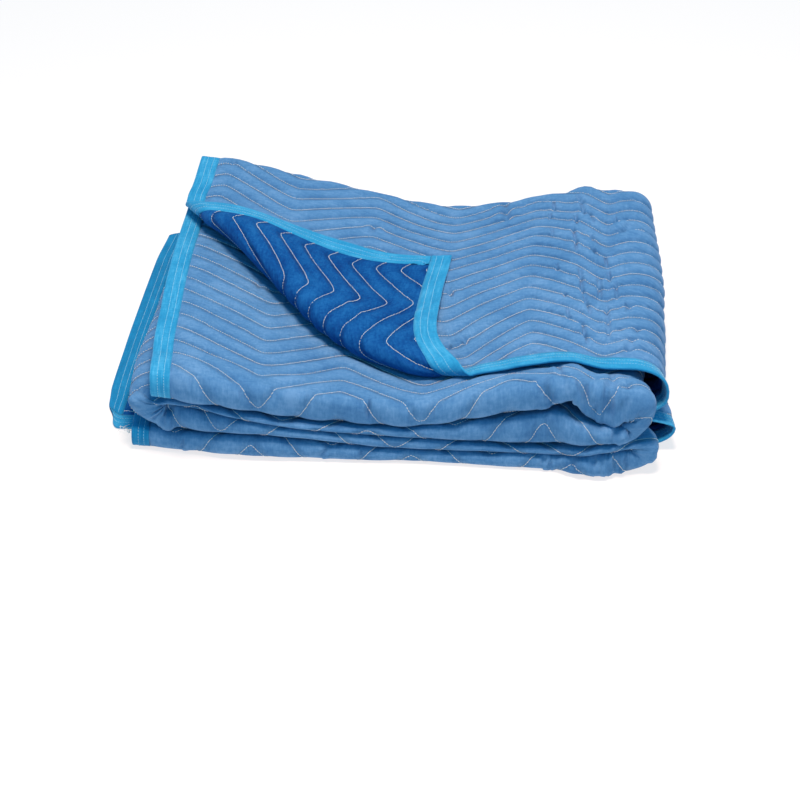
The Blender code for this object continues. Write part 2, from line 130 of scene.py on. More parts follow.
# ---- heights (mm)
# x, top of packet 4 (the lowest), top of packet 3, top of packet 2, foot of packet 1, top:
# along the front, and farther back
FRONT_HEIGHTS = (
    (-250, 24.5, 51.5, 58, 58, 92),
    (-209, 24.5, 51.5, 58, 58, 93),
    (-175, 23.7, 50.1, 56.6, 56.6, 88),
    (-137, 26.6, 45.2, 51.7, 51.7, 82),
    (-79, 23.1, 34.5, 41.3, 41.3, 72),
    (-30, 18.2, 30.1, 39.3, 39.3, 67),
    (16, 14.5, 27.6, 37.3, 37.3, 66),
    (60, 14.8, 26.3, 44.6, 44.6, 71),
    (92, 15.6, 24.8, 51.7, 51.7, 82),
    (125, 16.5, 24, 58.7, 58.7, 92),
    (148, 16.9, 24.4, 64.5, 64.5, 97),
    (165, 17.5, 25, 70, 71.3, 99.5),
    (178, 21.9, 29.4, 64, 78.5, 100),
    (192, 23.8, 31.3, 60, 60.5, 99),
    (208, 27.5, 35, 53.3, 53.3, 96),
    (227, 27.1, 34.6, 53.5, 53.5, 95.5),
    (246, 27.1, 34.6, 53.5, 53.5, 99),
    (266, 27.1, 34.6, 53.5, 53.5, 105),
)
REST_HEIGHTS = (
    (-290, 5.5, 40, 58, 58, 104),
    (-266, 7, 40, 58, 58, 104),
    (-250, 15, 40, 58, 58, 104),
    (-238, 20, 40, 58, 58, 104),
    (-209, 22, 40, 57, 57, 102),
    (-150, 19.5, 36, 52, 52, 89),
    (-110, 18, 34, 50, 50, 79.5),
    (-70, 17, 32.5, 48, 48, 72),
    (16, 15.5, 31, 46, 46, 65.5),
    (60, 15.7, 31.5, 47, 47, 68.5),
    (95, 16, 32, 48.5, 48.5, 73),
    (125, 16.4, 33, 50.5, 50.5, 78.5),
    (150, 17, 34, 52, 52, 82.5),
    (172, 18, 35.5, 54, 54, 84),
    (204, 18.5, 37, 56, 56, 79.5),
    (224, 19, 38, 58, 58, 84),
    (250, 19, 38, 58, 58, 84),
)
# how much the front's heights count at places along y
FRONT_SHARE = ((-235, 1.0), (-205, 0.9), (-165, 0.66), (-110, 0.36), (-50, 0.14), (10, 0.0))
LEFT_DIP = 5  # how far the top sinks at the left, behind the turned corner


def surfaces(x, y):
    """Heights of the five surfaces between and over the packets at a place."""
    front, rest = np.array(FRONT_HEIGHTS, float), np.array(REST_HEIGHTS, float)
    fade = curve(y, FRONT_SHARE)
    out = []
    for column in range(1, 6):
        far = soft(x, rest[:, 0], rest[:, column])
        near = soft(x, front[:, 0], front[:, column])
        out.append(far + (near - far) * fade)
    # packet 1 lies on packet 2 but for the hollow at the front
    out[3] = out[2] + (out[3] - out[2]) * ease(-y, 120, 200)
    out[4] -= LEFT_DIP * (1 - ease(y, 70, 180)) * ease(y, -10, 60) * (1 - ease(x, -215, -150))
    return out


# ---- the folds
def section(v):
    """Panels folded along the width: v to (y, t), t being height in the strip."""
    inner, roll, outer = (v - V1) / R_IN, (v - V3) / R_ROLL, (v - V5) / R_OUT
    where, y, t = zip(
        (v <= V1, BACK_Y - (V1 - v), 1.5 * PITCH),
        (v < V2, BACK_Y + R_IN * np.sin(inner), 2 * PITCH - R_IN * np.cos(inner)),
        (v <= V3, BACK_Y - (v - V2), 2.5 * PITCH),
        (v < V4, ROLL_Y - ROLL_REACH * R_ROLL * np.sin(roll), 1.5 * PITCH + R_ROLL * np.cos(roll)),
        (v <= V5, ROLL_Y + (v - V4), 0.5 * PITCH),
        (v < V6, BACK_Y + R_OUT * np.sin(outer), 2 * PITCH - R_OUT * np.cos(outer)),
        (v >= V6, BACK_Y - (v - V6), 3.5 * PITCH),
    )
    return np.select(where, y), np.select(where, t)


ROLL_FILL = 1.02  # the front rolls' height, the packet's being 1
EDGE_SHORT = 0.074  # share by which the lowest packet's inner panels stay behind the bound edge


def fill_front(y, t, v):
    """In front of the outermost panel's edge, the rolls fill the packet's height."""
    fill = ease(-y, 186, 222) * (v < V5)
    middle = 1.5 * PITCH
    full = 2 * PITCH + (t - middle) * (4 * PITCH - PLY) / (3 * PITCH - PLY) * ROLL_FILL
    return t + (full - t) * fill


def slack(v):
    """How far the loops at the right stand out."""
    return LOOSE * ease(v, V6 - 10, V6 + 210)


def accordion(u, t, v):
    """The strip folded to and fro along its length: to (x, z) before settling."""
    x, z = np.empty_like(u), np.empty_like(u)
    g, inner = PACKET_GAP / 2, 3 * PITCH
    p = u <= U1
    x[p], z[p] = LEFT_TOP + u[p], I1 + g + t[p]
    for a, b, spread, level in ((U1, U2, UPPER_SPREAD, I1), (U5, U6, LOWER_SPREAD, I3)):
        p = (u > a) & (u < b)
        turn = math.pi * (u[p] - a) / (b - a)
        r = g + t[p]
        reach = spread * np.minimum(r, inner) + np.maximum(r - inner, 0)
        x[p] = RIGHT_FOLD + (reach + slack(v[p])) * np.sin(turn)
        z[p] = level + r * np.cos(turn)
    p = (u >= U2) & (u <= U3)
    x[p], z[p] = RIGHT_FOLD - (u[p] - U2), I1 - g - t[p]
    p = (u > U3) & (u < U4)
    turn = math.pi * (u[p] - U3) / LEFT_TURN
    r = g + 4 * PITCH - t[p]
    x[p], z[p] = LEFT_FOLD - LEFT_SPREAD * r * np.sin(turn), I2 + r * np.cos(turn)
    p = (u >= U4) & (u <= U5)
    x[p], z[p] = LEFT_FOLD + (u[p] - U4), I3 + g + t[p]
    p = u >= U6
    # the outermost panel's bound edge juts out beyond the others in the bottom packet
    short = 1 - EDGE_SHORT * (1 - ease(v[p], V5, V6))
    x[p], z[p] = RIGHT_FOLD - (u[p] - U6) * short, I3 - g - t[p]
    return x, z


# ---- the turned corner
# the crease's ends on the left and on the front edge; a runs along the front edge, b along the left
A_FLAT, B_FLAT = (0.0, 268.0), (255.0, 0.0)
CREASE_ANGLE = math.atan2(-A_FLAT[1], B_FLAT[0])
ALONG = np.array((math.cos(CREASE_ANGLE), math.sin(CREASE_ANGLE)))
INTO = np.array((-ALONG[1], ALONG[0]))
# plan of the crease, of the far edge and of the near edge of the turned corner
CREASE_LINE = ((-240, 80), (-208, 34), (-168, -16), (-135, -58), (-100, -103), (-67, -139),
               (-36, -161), (-6, -174), (24, -184), (48, -189), (70, -191))
FAR_LINE = ((41, 56), (9, 52), (-22, 50), (-53, 51), (-85, 55), (-117, 61), (-160, 67),
            (-182, 72), (-210, 76), (-240, 80))
NEAR_LINE = ((41, 56), (40, 19), (38, -11), (38, -51), (38, -93), (40, -122), (46, -144),
             (54, -160), (62, -174), (70, -191))


def along_line(line, share):
    """Points at shares of a polyline's length."""
    pts = np.array(line, float)
    run = np.concatenate(([0], np.cumsum(np.hypot(*np.diff(pts, axis=0).T))))
    at = np.asarray(share) * run[-1]
    return np.column_stack([np.interp(at, run, pts[:, k]) for k in (0, 1)])


def roll_radius(run):
    """Radius of the soft roll at runs along the crease."""
    return soft(run, (0, 25, 70, 190, 300, 370), (2.8, 5.0, 9.5, 11.5, 9.5, 6.0))


def crease_base(a, b):
    """Flat places near the corner folded over a straight crease: plan, turn and roll."""
    x, y = LEFT_TOP + a, OUTER_EDGE + b
    rel = np.column_stack((a - A_FLAT[0], b - A_FLAT[1]))
    run, past = rel @ ALONG, -(rel @ INTO)
    radius = roll_radius(run)
    past = past + 0.5 * math.pi * radius
    over = past > 0
    turn = np.clip(past / radius, 0, math.pi)
    beyond = np.maximum(past - math.pi * radius, 0)
    offset = radius * np.sin(turn) - beyond
    move = np.where(over, past - offset, 0.0)
    plan = np.column_stack((x + move * INTO[0], y + move * INTO[1]))
    return plan, turn * over, beyond * over, radius


def spline_terms(p, q):
    """Thin-plate terms between two sets of places."""
    d2 = ((p[:, None, :] - q[None, :, :]) ** 2).sum(axis=2)
    return d2 * np.log(d2 + 1e-9)


SHIFT_SOFTNESS = 40.0  # how freely the shift may miss its places
# places round the corner (a, b), and how far they shift along x
CORNER_HOLDS = ((0, 310, 0), (0, 388, 0), (110, 300, 0), (220, 200, 0), (300, 120, 4),
                (290, 0, 36), (330, 0, 22), (375, 0, 8), (420, 0, 0), (465, 0, 0),
                (465, 150, 0), (465, 388, 0), (200, 388, 0), (340, 60, 12))


def corner_shift():
    """Smooth shift of the corner's plan that carries it to its uneven outlines."""
    src, dst = [], []
    for s in np.linspace(0, 1, 9):
        flat = np.array(A_FLAT) + s * (np.array(B_FLAT) - np.array(A_FLAT))
        src.append(flat)
        dst.append(along_line(CREASE_LINE, [s])[0] - np.array((LEFT_TOP, OUTER_EDGE)) - flat)
    for line, end, shares in ((FAR_LINE, A_FLAT, np.linspace(0, 0.92, 8)),
                              (NEAR_LINE, B_FLAT, np.linspace(0.1, 0.94, 9))):
        for s in shares:
            flat = s * np.array(end)
            src.append(flat)
            dst.append(along_line(line, [s])[0] - crease_base(*flat[:, None])[0][0])
    for a, b, dx in CORNER_HOLDS:
        src.append(np.array((a, b), float))
        dst.append(np.array((dx, 0.0)))
    src, dst = np.array(src), np.array(dst)
    n = len(src)
    system = np.zeros((n + 3, n + 3))
    system[:n, :n] = spline_terms(src, src) + np.eye(n) * SHIFT_SOFTNESS
    system[:n, n:] = np.column_stack((np.ones(n), src))
    system[n:, :n] = system[:n, n:].T
    weights = np.linalg.solve(system, np.vstack((dst, np.zeros((3, 2)))))
    return src, weights


SHIFT_AT, SHIFT_BY = corner_shift()
NEAR_LIFT, FAR_LIFT = 7.0, 3.0  # how far the turned corner's edges stand off the cloth
CORNER_GAP = 1.2  # between the turned corner and the cloth under it


def turn_corner(x, y, z, u, v):
    """Turn the front left corner of the outermost panel back over a soft roll."""
    near = (u < U1 + 1) & (v > V6)
    if near.any():
        a, b = u[near], WIDE - v[near]
        plan, turn, beyond, radius = crease_base(a, b)
        flat = np.column_stack((a, b))
        moved = spline_terms(flat, SHIFT_AT) @ SHIFT_BY[:-3]
        moved += np.column_stack((np.ones(len(flat)), flat)) @ SHIFT_BY[-3:]
        fade = (1 - ease(a, 380, 460))[:, None] * (1 - ease(b, 300, 380))[:, None]
        plan = plan + moved * fade
        sunk = ease(beyond, 0, 85)
        lift = radius * (1 - np.cos(turn))
        lift = lift - sunk * (2 * radius - PLY - CORNER_GAP)
        lift = lift + NEAR_LIFT * bump(a, 150, 60) * bump(b, 0, 26) * sunk
        lift = lift + FAR_LIFT * bump(b, 120, 50) * bump(a, 0, 16) * sunk
        x[near], y[near] = plan.T
        z[near] = z[near] + np.where(turn > 0, lift, 0.0)
    return x, y, z


TIGHTEST = 0.4  # share of its thickness that squeezed cloth keeps at least


def settle(x, y, z):
    """Heights after settling, and how far the plies are squeezed there."""
    s3, s2, s1, s1b, s0 = surfaces(x, y)
    out, squeeze = np.empty_like(z), np.ones_like(z)
    for low, high, foot, head in ((-1e9, I3, 0 * s3, s3), (I3, I2, s3, s2), (I2, I1, s2, s1),
                                  (I1, TOP, s1b, s0)):
        start = max(low, 0.0)
        p = (z > low) & (z <= high)
        share = ((head - foot) / (high - start))[p]
        out[p] = foot[p] + (z[p] - start) * share
        squeeze[p] = np.clip(share, TIGHTEST, 1.0)
    p = z > TOP
    out[p] = s0[p] + (z - TOP)[p]
    return out, squeeze


# x of the left edges at places along y, against where the folds alone would put them
TOP_LEAN = ((-235, 17), (-215, 14), (-191, 10), (-116, 4), (-37, -1), (40, -4), (110, -5),
            (200, -5))
# the lowest packet's outermost panel, and its other panels
SOLE_LEAN = ((-215, 40), (-205, 26), (-192, 13), (-176, 6), (-147, 4), (-49, 1), (130, 0),
             (200, 4))
SOLE_INNER_LEAN = ((-235, 7), (-200, 3), (-150, 0), (120, -6), (200, 4))
# y of the back edge of the top packet at places along x
BACK_LINE = ((-235, 0), (-160, -1), (-77, -4), (28, -24), (88, -21), (158, -9), (188, 4),
             (236, -5), (262, -10))
# how far the front rolls stand forward at places along x: the top packet's, the others'
TOP_REACH = ((-250, 13), (-209, 15), (-175, 19), (-137, 18), (-100, 13), (-79, 9), (-30, 7),
             (16, 5), (92, 4), (148, 4), (178, 6), (205, 9), (230, 6), (260, 0))
REACH = ((-250, 5), (-209, 7), (-175, 11), (-137, 16), (-79, 12), (-30, 9), (16, 6), (92, 5),
         (148, 5), (168, 7), (180, 14), (208, 15), (222, 9), (240, 2), (260, 0))
# how far the right folds, and the left fold under the top packet, keep in at places along y
RIGHT_IN = ((-250, 0), (-212, 0.5), (-175, 6), (-155, 6.5), (-120, 6.8), (-25, 7.5), (57, 8),
            (165, 10), (200, 11))
LEFT_IN = ((-250, 7), (-225, 7), (-200, 5), (-150, 0), (200, 0))
# the lowest packet's loose front left corner: moved out, forward, and its very edge out
CORNER_OUT, CORNER_FORWARD, TIP_OUT = 4, 17, 9
# the right folds: fuller above than below, kept in, and the outermost panel out at the front
LOBE_FULL, LOBE_IN, UPPER_OUT, LOWER_OUT = 6.0, 3.5, 7.0, 8.0


def outlines(x, y, z, u, v):
    """Shift the packets to their uneven outlines."""
    top = 1 - ease(u, U1 + 0.3 * RIGHT_TURN, U2 + 60)
    flat = np.where((u < U1) & (v > V6), ease(WIDE - v, A_FLAT[1], A_FLAT[1] + 40), 1.0)
    x = x + top * flat * curve(y, TOP_LEAN) * (1 - ease(x, LEFT_TOP, 60))
    sole = ease(u, U6, U6 + 60)
    lean = np.where(v > V6 - 1, curve(y, SOLE_LEAN), curve(y, SOLE_INNER_LEAN))
    x = x + sole * lean * (1 - ease(x, -284, -150))
    y = y + top * curve(x, BACK_LINE) * ease(y, -20, 190)
    upper = 1 - ease(u, U1 + 0.3 * RIGHT_TURN, U1 + 0.7 * RIGHT_TURN)
    reach = curve(x, REACH)
    reach = reach + (curve(x, TOP_REACH) - reach) * upper
    y = y - reach * ease(-y, 196, 238) * (v < V6)
    end = sole * ease(v, WIDE - 60, WIDE - 5) * (1 - ease(x, -240, -205))
    forward = end * (CORNER_FORWARD * ease(x, -284, -262) - 2)
    x, y = x + CORNER_OUT * end * (1 - ease(x, -284, -266)), y - forward
    x = x + TIP_OUT * sole * ease(v, WIDE - 24, WIDE - 2) * (1 - ease(x, -290, -258))
    x = x - curve(y, RIGHT_IN) * ease(x, 120, 235)
    outer = ease(v, V6 - 5, V6 + 40)
    turn = math.pi * np.clip((u - U1) / RIGHT_TURN, 0, 1)
    lobe = np.sin(turn) * (LOBE_FULL * np.sin(2 * turn) - LOBE_IN + UPPER_OUT * outer)
    x = x + lobe * ease(-y, 140, 205)
    turn = math.pi * np.clip((u - U5) / RIGHT_TURN, 0, 1)
    x = x + LOWER_OUT * np.sin(turn) * outer * ease(-y, 110, 185)
    x = x + curve(y, LEFT_IN) * (1 - ease(x, -235, -150)) * (u > U2) * (u < U5 + 1)
    return x, y


# creases and soft folds in the flat cloth: width and depth (mm), then places (u, v) along
# each; a depth over nought is a trough, under nought a ridge
CREASES = (
    # top of the outermost panel, right
    (1.4, 3, (377, 1304), (379, 1329)), (1.3, 2.7, (375, 1337), (376, 1356)),
    (1.5, 3.2, (404, 1354), (407, 1376)), (1.4, 3.2, (402, 1379), (407, 1411), (409, 1437)),
    (1.3, 2.5, (380, 1384), (381, 1396)), (1.7, 3.2, (424, 1418), (429, 1431)),
    (1.3, 2.5, (389, 1464), (390, 1479)), (1.7, 3.2, (413, 1468), (415, 1483), (419, 1524)),
    (1.3, 2.5, (400, 1523), (400, 1535)), (1.7, 3.2, (420, 1524), (424, 1543), (429, 1563)),
    (2, 3.2, (435, 1481), (436, 1502), (438, 1524)), (1.3, 3, (454, 1490), (456, 1533)),
    (1.5, 3, (446, 1467), (448, 1491)), (1.3, 2.5, (403, 1558), (405, 1578)),
    (1.6, 3.2, (420, 1581), (423, 1606), (428, 1630)), (1.8, 3.2, (445, 1538), (448, 1578), (450, 1618)),
    (1.4, 3, (467, 1534), (466, 1558)), (1.4, 3.2, (472, 1582), (470, 1601)),
    (1.4, 3.2, (469, 1605), (467, 1642)), (3, 3.4, (325, 1287), (329, 1340)),
    (1.6, 3.2, (403, 1302), (412, 1325)), (1.6, 3.2, (409, 1323), (415, 1357)),
    (1.7, 3.2, (418, 1344), (426, 1368)), (1.3, 2.5, (451, 1351), (452, 1366)),
    (1.6, 3, (440, 1432), (444, 1455)), (1.4, 2.7, (422, 1393), (426, 1406)),
    (3.2, 3.4, (456, 1385), (469, 1365)), (2, 3.2, (278, 1496), (284, 1511)),
    (2, 3, (286, 1584), (286, 1598)), (1.8, 3, (268, 1591), (269, 1598)),
    # left part
    (2.2, 3, (192, 1364), (189, 1383)), (2.5, 1.6, (92, 641), (89, 660)), (2, 2, (34, 1289), (33, 1304)),
    # front roll, right
    (2.5, 2.6, (384, 833), (387, 841.5)), (2.5, 2.9, (388, 841.5), (390.5, 844), (394, 846)),
    (1.9, 3, (399, 801), (400.5, 828)), (2.5, 2.2, (403.5, 837.5), (408.5, 844)),
    (3.2, 3.3, (416.5, 841), (420.5, 842.5), (420.5, 844.5)),
    (2.9, 3.3, (423, 841), (425, 843.5), (426, 846)),
    (4.3, -3.4, (442, 821.5), (438.5, 838), (435.5, 842.5)),
    (4.1, 3.3, (446.5, 832), (443.5, 840), (439.5, 843.5)), (2.6, 3.3, (452, 837.5), (447, 842)),
    (2.9, 3.3, (436, 843.5), (432, 847.5)), (2.3, 3, (439.5, 847.5), (447.5, 844.5), (453, 843)),
    (2.3, 3, (445, 846.5), (453, 844.5), (460, 843)), (2.5, 2.4, (465.5, 841.5), (461, 843.5)),
    (2.5, 2.2, (451, 800), (449.5, 827.5)), (3.2, 3.3, (524, 852.5), (519.5, 848), (517.5, 843)),
    (2.9, 3.3, (531.5, 850), (535, 846), (537, 842)),
    (3.6, -3.4, (457.5, 827), (453.5, 840), (449.5, 844)), (2.5, 2.4, (475.5, 845), (484.5, 849.5)),
    # bottom packets, right
    (2.8, 3.2, (1518, 848), (1525.5, 845.5)), (2, 3.1, (1540.5, 846.5), (1537, 843)),
    (2.4, 3.2, (1558, 849), (1556.5, 846), (1554.5, 842)),
    (2.4, 3.2, (1552, 849), (1550, 845.5), (1547.5, 841.5)), (2.8, 3.2, (1572.5, 848), (1567.5, 846)),
    (2.4, 2.9, (1591, 848.5), (1591.5, 843.5)), (2.4, 2.9, (1617, 848), (1624, 845.5)),
    (2, 2.9, (1612.5, 845.5), (1617, 843)), (2.2, 3.2, (1564, 849), (1562, 846), (1560.5, 843)),
    # front rolls, left and middle
    (1.3, 2.5, (89, 840.5), (90, 843)), (1.2, 2.1, (218.5, 835.5), (219, 846.5)),
    (3, 2.3, (90.5, 843.5), (124, 842), (134.5, 843), (156, 842.5), (171.5, 843), (217, 843),
     (233, 843), (250.5, 844.5)),
    (4, -2.1, (90.5, 841.5), (123.5, 840.5), (156, 840.5), (187.5, 840), (216, 841), (250, 842)),
    (1.3, 2.5, (1850, 842), (1842.5, 846.5)), (1.3, 1.9, (1808, 848), (1808.5, 844.5)),
    (1.5, 1.9, (39.5, 840), (41, 842)), (1.5, 2.5, (1993.5, 846), (1994.5, 843), (1997.5, 841)),
    # pucker at the left fold
    (2.7, 4, (1043.5, 838.5), (1033.5, 841), (1028, 844.5)),
    (2.4, 4, (1044, 839), (1036.5, 842.5), (1032, 846)), (2.8, 3.7, (1044, 838), (1045, 841.5)),
    (3.1, 4.5, (985, 863), (976, 852), (970.5, 847.5), (961.5, 845)),
    (2.2, 1.9, (987, 846.5), (998.5, 841.5)),
    (1.3, 3.2, (994, 868), (988.5, 863), (984, 860), (979, 853.5), (976, 849), (974, 846), (968, 843.5)),
    (1.4, 3, (1031, 838.5), (1023, 840), (1021.5, 842), (1021.5, 844.5)),
    (1.3, 2.8, (1034, 839), (1028.5, 841), (1026.5, 844), (1026.5, 847.5)),
    (1.3, 2.4, (1037, 838.5), (1035.5, 841.5), (1035.5, 843.5)),
    # turned corner
    (2.2, -2, (10, 1647), (25, 1637)), (3, -2, (135, 1636), (120, 1650)),
    (2.6, -1.8, (67, 1533), (100, 1562)), (2.6, 1.8, (118, 1586), (155, 1614)),
)


def line_distance(u, v, line):
    """Distance from a polyline, and the share of its length, for places near it."""
    best, share = np.full(len(u), 1e9), np.zeros(len(u))
    lengths = [math.dist(p, q) for p, q in zip(line[:-1], line[1:])]
    done = 0.0
    for (p, q), length in zip(zip(line[:-1], line[1:]), lengths):
        d = ((q[0] - p[0]) / length, (q[1] - p[1]) / length)
        s = np.clip((u - p[0]) * d[0] + (v - p[1]) * d[1], 0, length)
        off = np.hypot(u - p[0] - s * d[0], v - p[1] - s * d[1])
        nearer = off < best
        best = np.where(nearer, off, best)
        share = np.where(nearer, (done + s) / sum(lengths), share)
        done += length
    return best, share


def close_to(u, v, line, reach):
    """Which places lie within reach of the box round a line."""
    us, vs = zip(*line)
    return np.nonzero((u > min(us) - reach) & (u < max(us) + reach)
                      & (v > min(vs) - reach) & (v < max(vs) + reach))[0]


DARK_TROUGH, DARK_RIDGE = 1.8, 0.6  # width of the creases on the dark side
RAISED = (0.42, 0.62)  # cloth pushed up beside a narrow and a wide trough


def flat_waves(u, v, side=1):
    """Small unevenness of the cloth, along its normal."""
    w = 0.6 * np.sin(u / 31 + 2 * np.sin(v / 57)) * np.sin(v / 23 + 1.3 * np.sin(u / 47))
    w += 0.3 * np.sin(u / 12.7 + v / 29) * np.sin(v / 16.3 - u / 61 + 2 * np.sin(u / 37))
    for width, depth, *line in CREASES:
        raised = RAISED[width > 1.9]
        if side < 0:
            width = width * (DARK_TROUGH if depth > 0 else DARK_RIDGE)
            raised = 0.0
        at = close_to(u, v, line, 9 * width)
        if not len(at):
            continue
        off, share = line_distance(u[at], v[at], line)
        fade = ease(share, -0.02, 0.16) * (1 - ease(share, 0.84, 1.02))
        w[at] -= depth * fade * (bump(off, 0, width) - raised * bump(off, 2.8 * width, 2.0 * width))
    return w


def place(u, v):
    """Places of the middle of the cloth."""
    u, v = np.array(u, float), np.array(v, float)
    y, t = section(v)
    t = fill_front(y, t, v)
    x, z = accordion(u, t, v)
    x, y, z = turn_corner(x, y, z, u, v)
    z, squeeze = settle(x, y, z)
    x, y = outlines(x, y, z, u, v)
    return np.column_stack((x, y, z)), squeeze


NEARBY = 0.4  # how far off the places are that give the cloth's ways


def unit(vectors):
    return vectors / np.maximum(np.linalg.norm(vectors, axis=1), 1e-9)[:, None]


def frame_at(u, v):
    """Places, normals (towards the light face) and ways of the cloth's middle."""
    u = np.clip(np.asarray(u, float), -2, LONG + 2)
    v = np.asarray(v, float)
    p, squeeze = place(u, v)
    du = place(u + NEARBY, v)[0] - place(u - NEARBY, v)[0]
    dv = place(u, v + NEARBY)[0] - place(u, v - NEARBY)[0]
    return p, unit(np.cross(dv, du)), unit(du), unit(dv), squeeze


def waved_frame_at(u, v):
    """The same, with the places moved by the light side's waves and creases."""
    p, n, du, dv, squeeze = frame_at(u, v)
    return p + n * (flat_waves(u, v) * squeeze)[:, None], n, du, dv, squeeze


FIRST_PEAK = (8.0, -13.0)  # shift of the first peak to the left: inside, outermost panel
ZIG_ROUNDING = 0.06  # softness of the zigzag's corners


def rounded_zigzag(u, v):
    """Offset of the stitch rows along v, with soft corners."""
    outermost = ease(v, V4 + 30, V6)
    drift = ZIG_DRIFT * outermost
    # the left tape hides the first peak, but not in the outermost panel
    first = FIRST_PEAK[0] + (FIRST_PEAK[1] - FIRST_PEAK[0]) * outermost
    first = first * (1 - ease(u, 10, 95))
    phase = (u - ZIG_START + drift + first) / (2 * (ZIG_HALF + drift))
    saw = np.abs(2 * (phase - np.floor(phase)) - 1)
    low = np.sqrt(saw ** 2 + ZIG_ROUNDING ** 2)
    high = 1 - np.sqrt((1 - saw) ** 2 + ZIG_ROUNDING ** 2)
    return ZIG * (1 - np.where(saw < 0.5, low, high))


def between_rows(u, v):
    """Nought on a stitch row, one midway between two."""
    return np.abs(np.sin(math.pi * (v - rounded_zigzag(u, v)) / ROW))


UNDER_TAPE = 0.35  # how far the cloth is drawn in under the tapes
# share of the way between rows that is flat, and how blunt the puffs are
FLAT_STRIP, BLUNT = 0.12, 1.15
TOP_PUFF, RIGHT_PUFF, FRONT_PUFF = 1.9, 0.8, 1.6  # free swelling: on top, more at the right, front


def crown(u, v):
    """Nought on a flat strip along each stitch row, one midway between two."""
    share = np.clip((between_rows(u, v) - FLAT_STRIP) / (1 - FLAT_STRIP), 0, 1)
    return 1 - (1 - share) ** BLUNT


def from_tapes(u, v):
    """Distance in from the nearest tape, under nought below it."""
    return np.minimum.reduce((u, LONG - u, v, WIDE - v)) - BIND


def half_thickness(u, v):
    """From the cloth's middle to a skin, without the free swelling."""
    edge = from_tapes(u, v)
    swell = np.clip((edge - 0.8) / 4.5, 0, 1)
    full = STITCHED + (PLY - STITCHED) * crown(u, v)
    return 0.5 * (CORE + (full - CORE) * swell) - UNDER_TAPE * np.clip(-edge / 2.0, 0, 1)


def free_puff(u, v, side):
    """Extra swelling between the rows where nothing presses on the cloth."""
    edge = np.clip(from_tapes(u, v) / 9.0, 0, 1)
    top = (1 - ease(u, U1 + 10, U2)) * ease(v, V6 - 24, V6 + 6)
    top = top * (TOP_PUFF + RIGHT_PUFF * ease(u, 300, 430))
    front = FRONT_PUFF * (1 - ease(u, U1 + 20, U2)) * ease(v, V3 - 120, V3 - 80)
    front = front * (1 - ease(v, V4, V4 + 20))
    free = np.maximum(top, front) if side > 0 else 0.5 * top
    uneven = 1 + 0.35 * np.sin(u / 19 + 1.7 * np.sin(v / 33)) * np.sin(v / 41 + 2)
    return free * uneven * edge * crown(u, v)


# ---- the quilt's net
# stretches along the length and the width: name, end, finest step
STRETCHES_U = (
    ("left", 256, 4.0), ("right", U1, 3.9), ("turn1", U2, 3.4), ("second", U3 - 32, 4.6),
    ("fold", U4 + 32, 3.6), ("third", U5, 4.6), ("turn3", U6, 3.4), ("fourth", LONG - 64, 4.6),
    ("sole_edge", LONG, 4.2),
)
STRETCHES_V = (
    ("in_front", 96, 5.0), ("in_back", V1 - 16, 12.0), ("in_turn", V2 + 16, 2.6),
    ("two_back", V3 - 270, 4.0), ("two_left", V3 - 90, 3.7), ("two_front", V3 - 8, 3.5),
    ("roll", V4 + 24, 2.0), ("three_front", V4 + 88, 4.0), ("three", V5 - 16, 4.2),
    ("out_turn", V6 + 16, 2.4), ("four", WIDE, 3.5),
)
# how many finest steps make one cell, along and across, on the light skin
CELLS = {
    "in_front": (4, 4), "in_back": (8, 4), "in_turn": (4, 2), "two_back": (4, 4),
    "two_left": (4, 4), "two_front": (4, 4), "roll": (2, 1), "three_front": (2, 4),
    "three": (4, 8), "out_turn": (2, 1), "four": (8, 8),
}
# the same for patches with finer cells, stretch by stretch
FINER = (
    ((1, 1), "left", ("two_front", "four", "roll")), ((2, 2), "left", ("two_left",)),
    ((1, 1), "right", ("two_front", "four", "roll")),
    ((1, 1), "turn1", ("two_front", "four", "roll", "out_turn")),
    ((1, 4), "turn1", ("two_left",)), ((2, 4), "turn1", ("two_back",)), ((2, 8), "turn1", ("three",)),
    ((1, 1), "turn3", ("two_front", "four", "roll", "out_turn")),
    ((2, 4), "turn3", ("two_left", "two_back")), ((2, 8), "turn3", ("three",)),
    ((1, 1), "fold", ("three_front", "roll", "out_turn")), ((1, 2), "fold", ("two_front", "three")),
    ((2, 4), "fold", ("two_left", "two_back", "four")),
    ((1, 1), "sole_edge", ("roll",)), ((1, 2), "sole_edge", ("four",)),
    ((2, 4), "sole_edge", ("two_left",)),
)
FINE = {(name, other): cell for cell, name, others in FINER for other in others}
# patches of the dark skin that are as fine as the light one's
DARK_FINE = (("left", "four"), ("turn1", "four"), ("turn3", "four"), ("fold", "roll"))


def net_lines(stretches):
    """Places of the finest net's lines, and the first and last line of each stretch."""
    lines, spans, start = [0.0], {}, 0.0
    for name, end, step in stretches:
        n = 8 * math.ceil((end - start) / step / 8)
        first = len(lines) - 1
        lines += list(start + (end - start) * np.arange(1, n + 1) / n)
        spans[name] = (first, len(lines) - 1)
        start = end
    return np.array(lines), spans


def skin_patches(span_u, span_v, dark):
    """Net lines that each patch of one skin uses."""
    for nu, (u0, u1) in span_u.items():
        for nv, (v0, v1) in span_v.items():
            mu, mv = FINE.get((nu, nv), CELLS[nv])
            if dark and (nu, nv) not in DARK_FINE:
                mu, mv = min(8, 2 * mu), min(8, 2 * mv)
            yield list(range(u0, u1 + 1, mu)), list(range(v0, v1 + 1, mv))


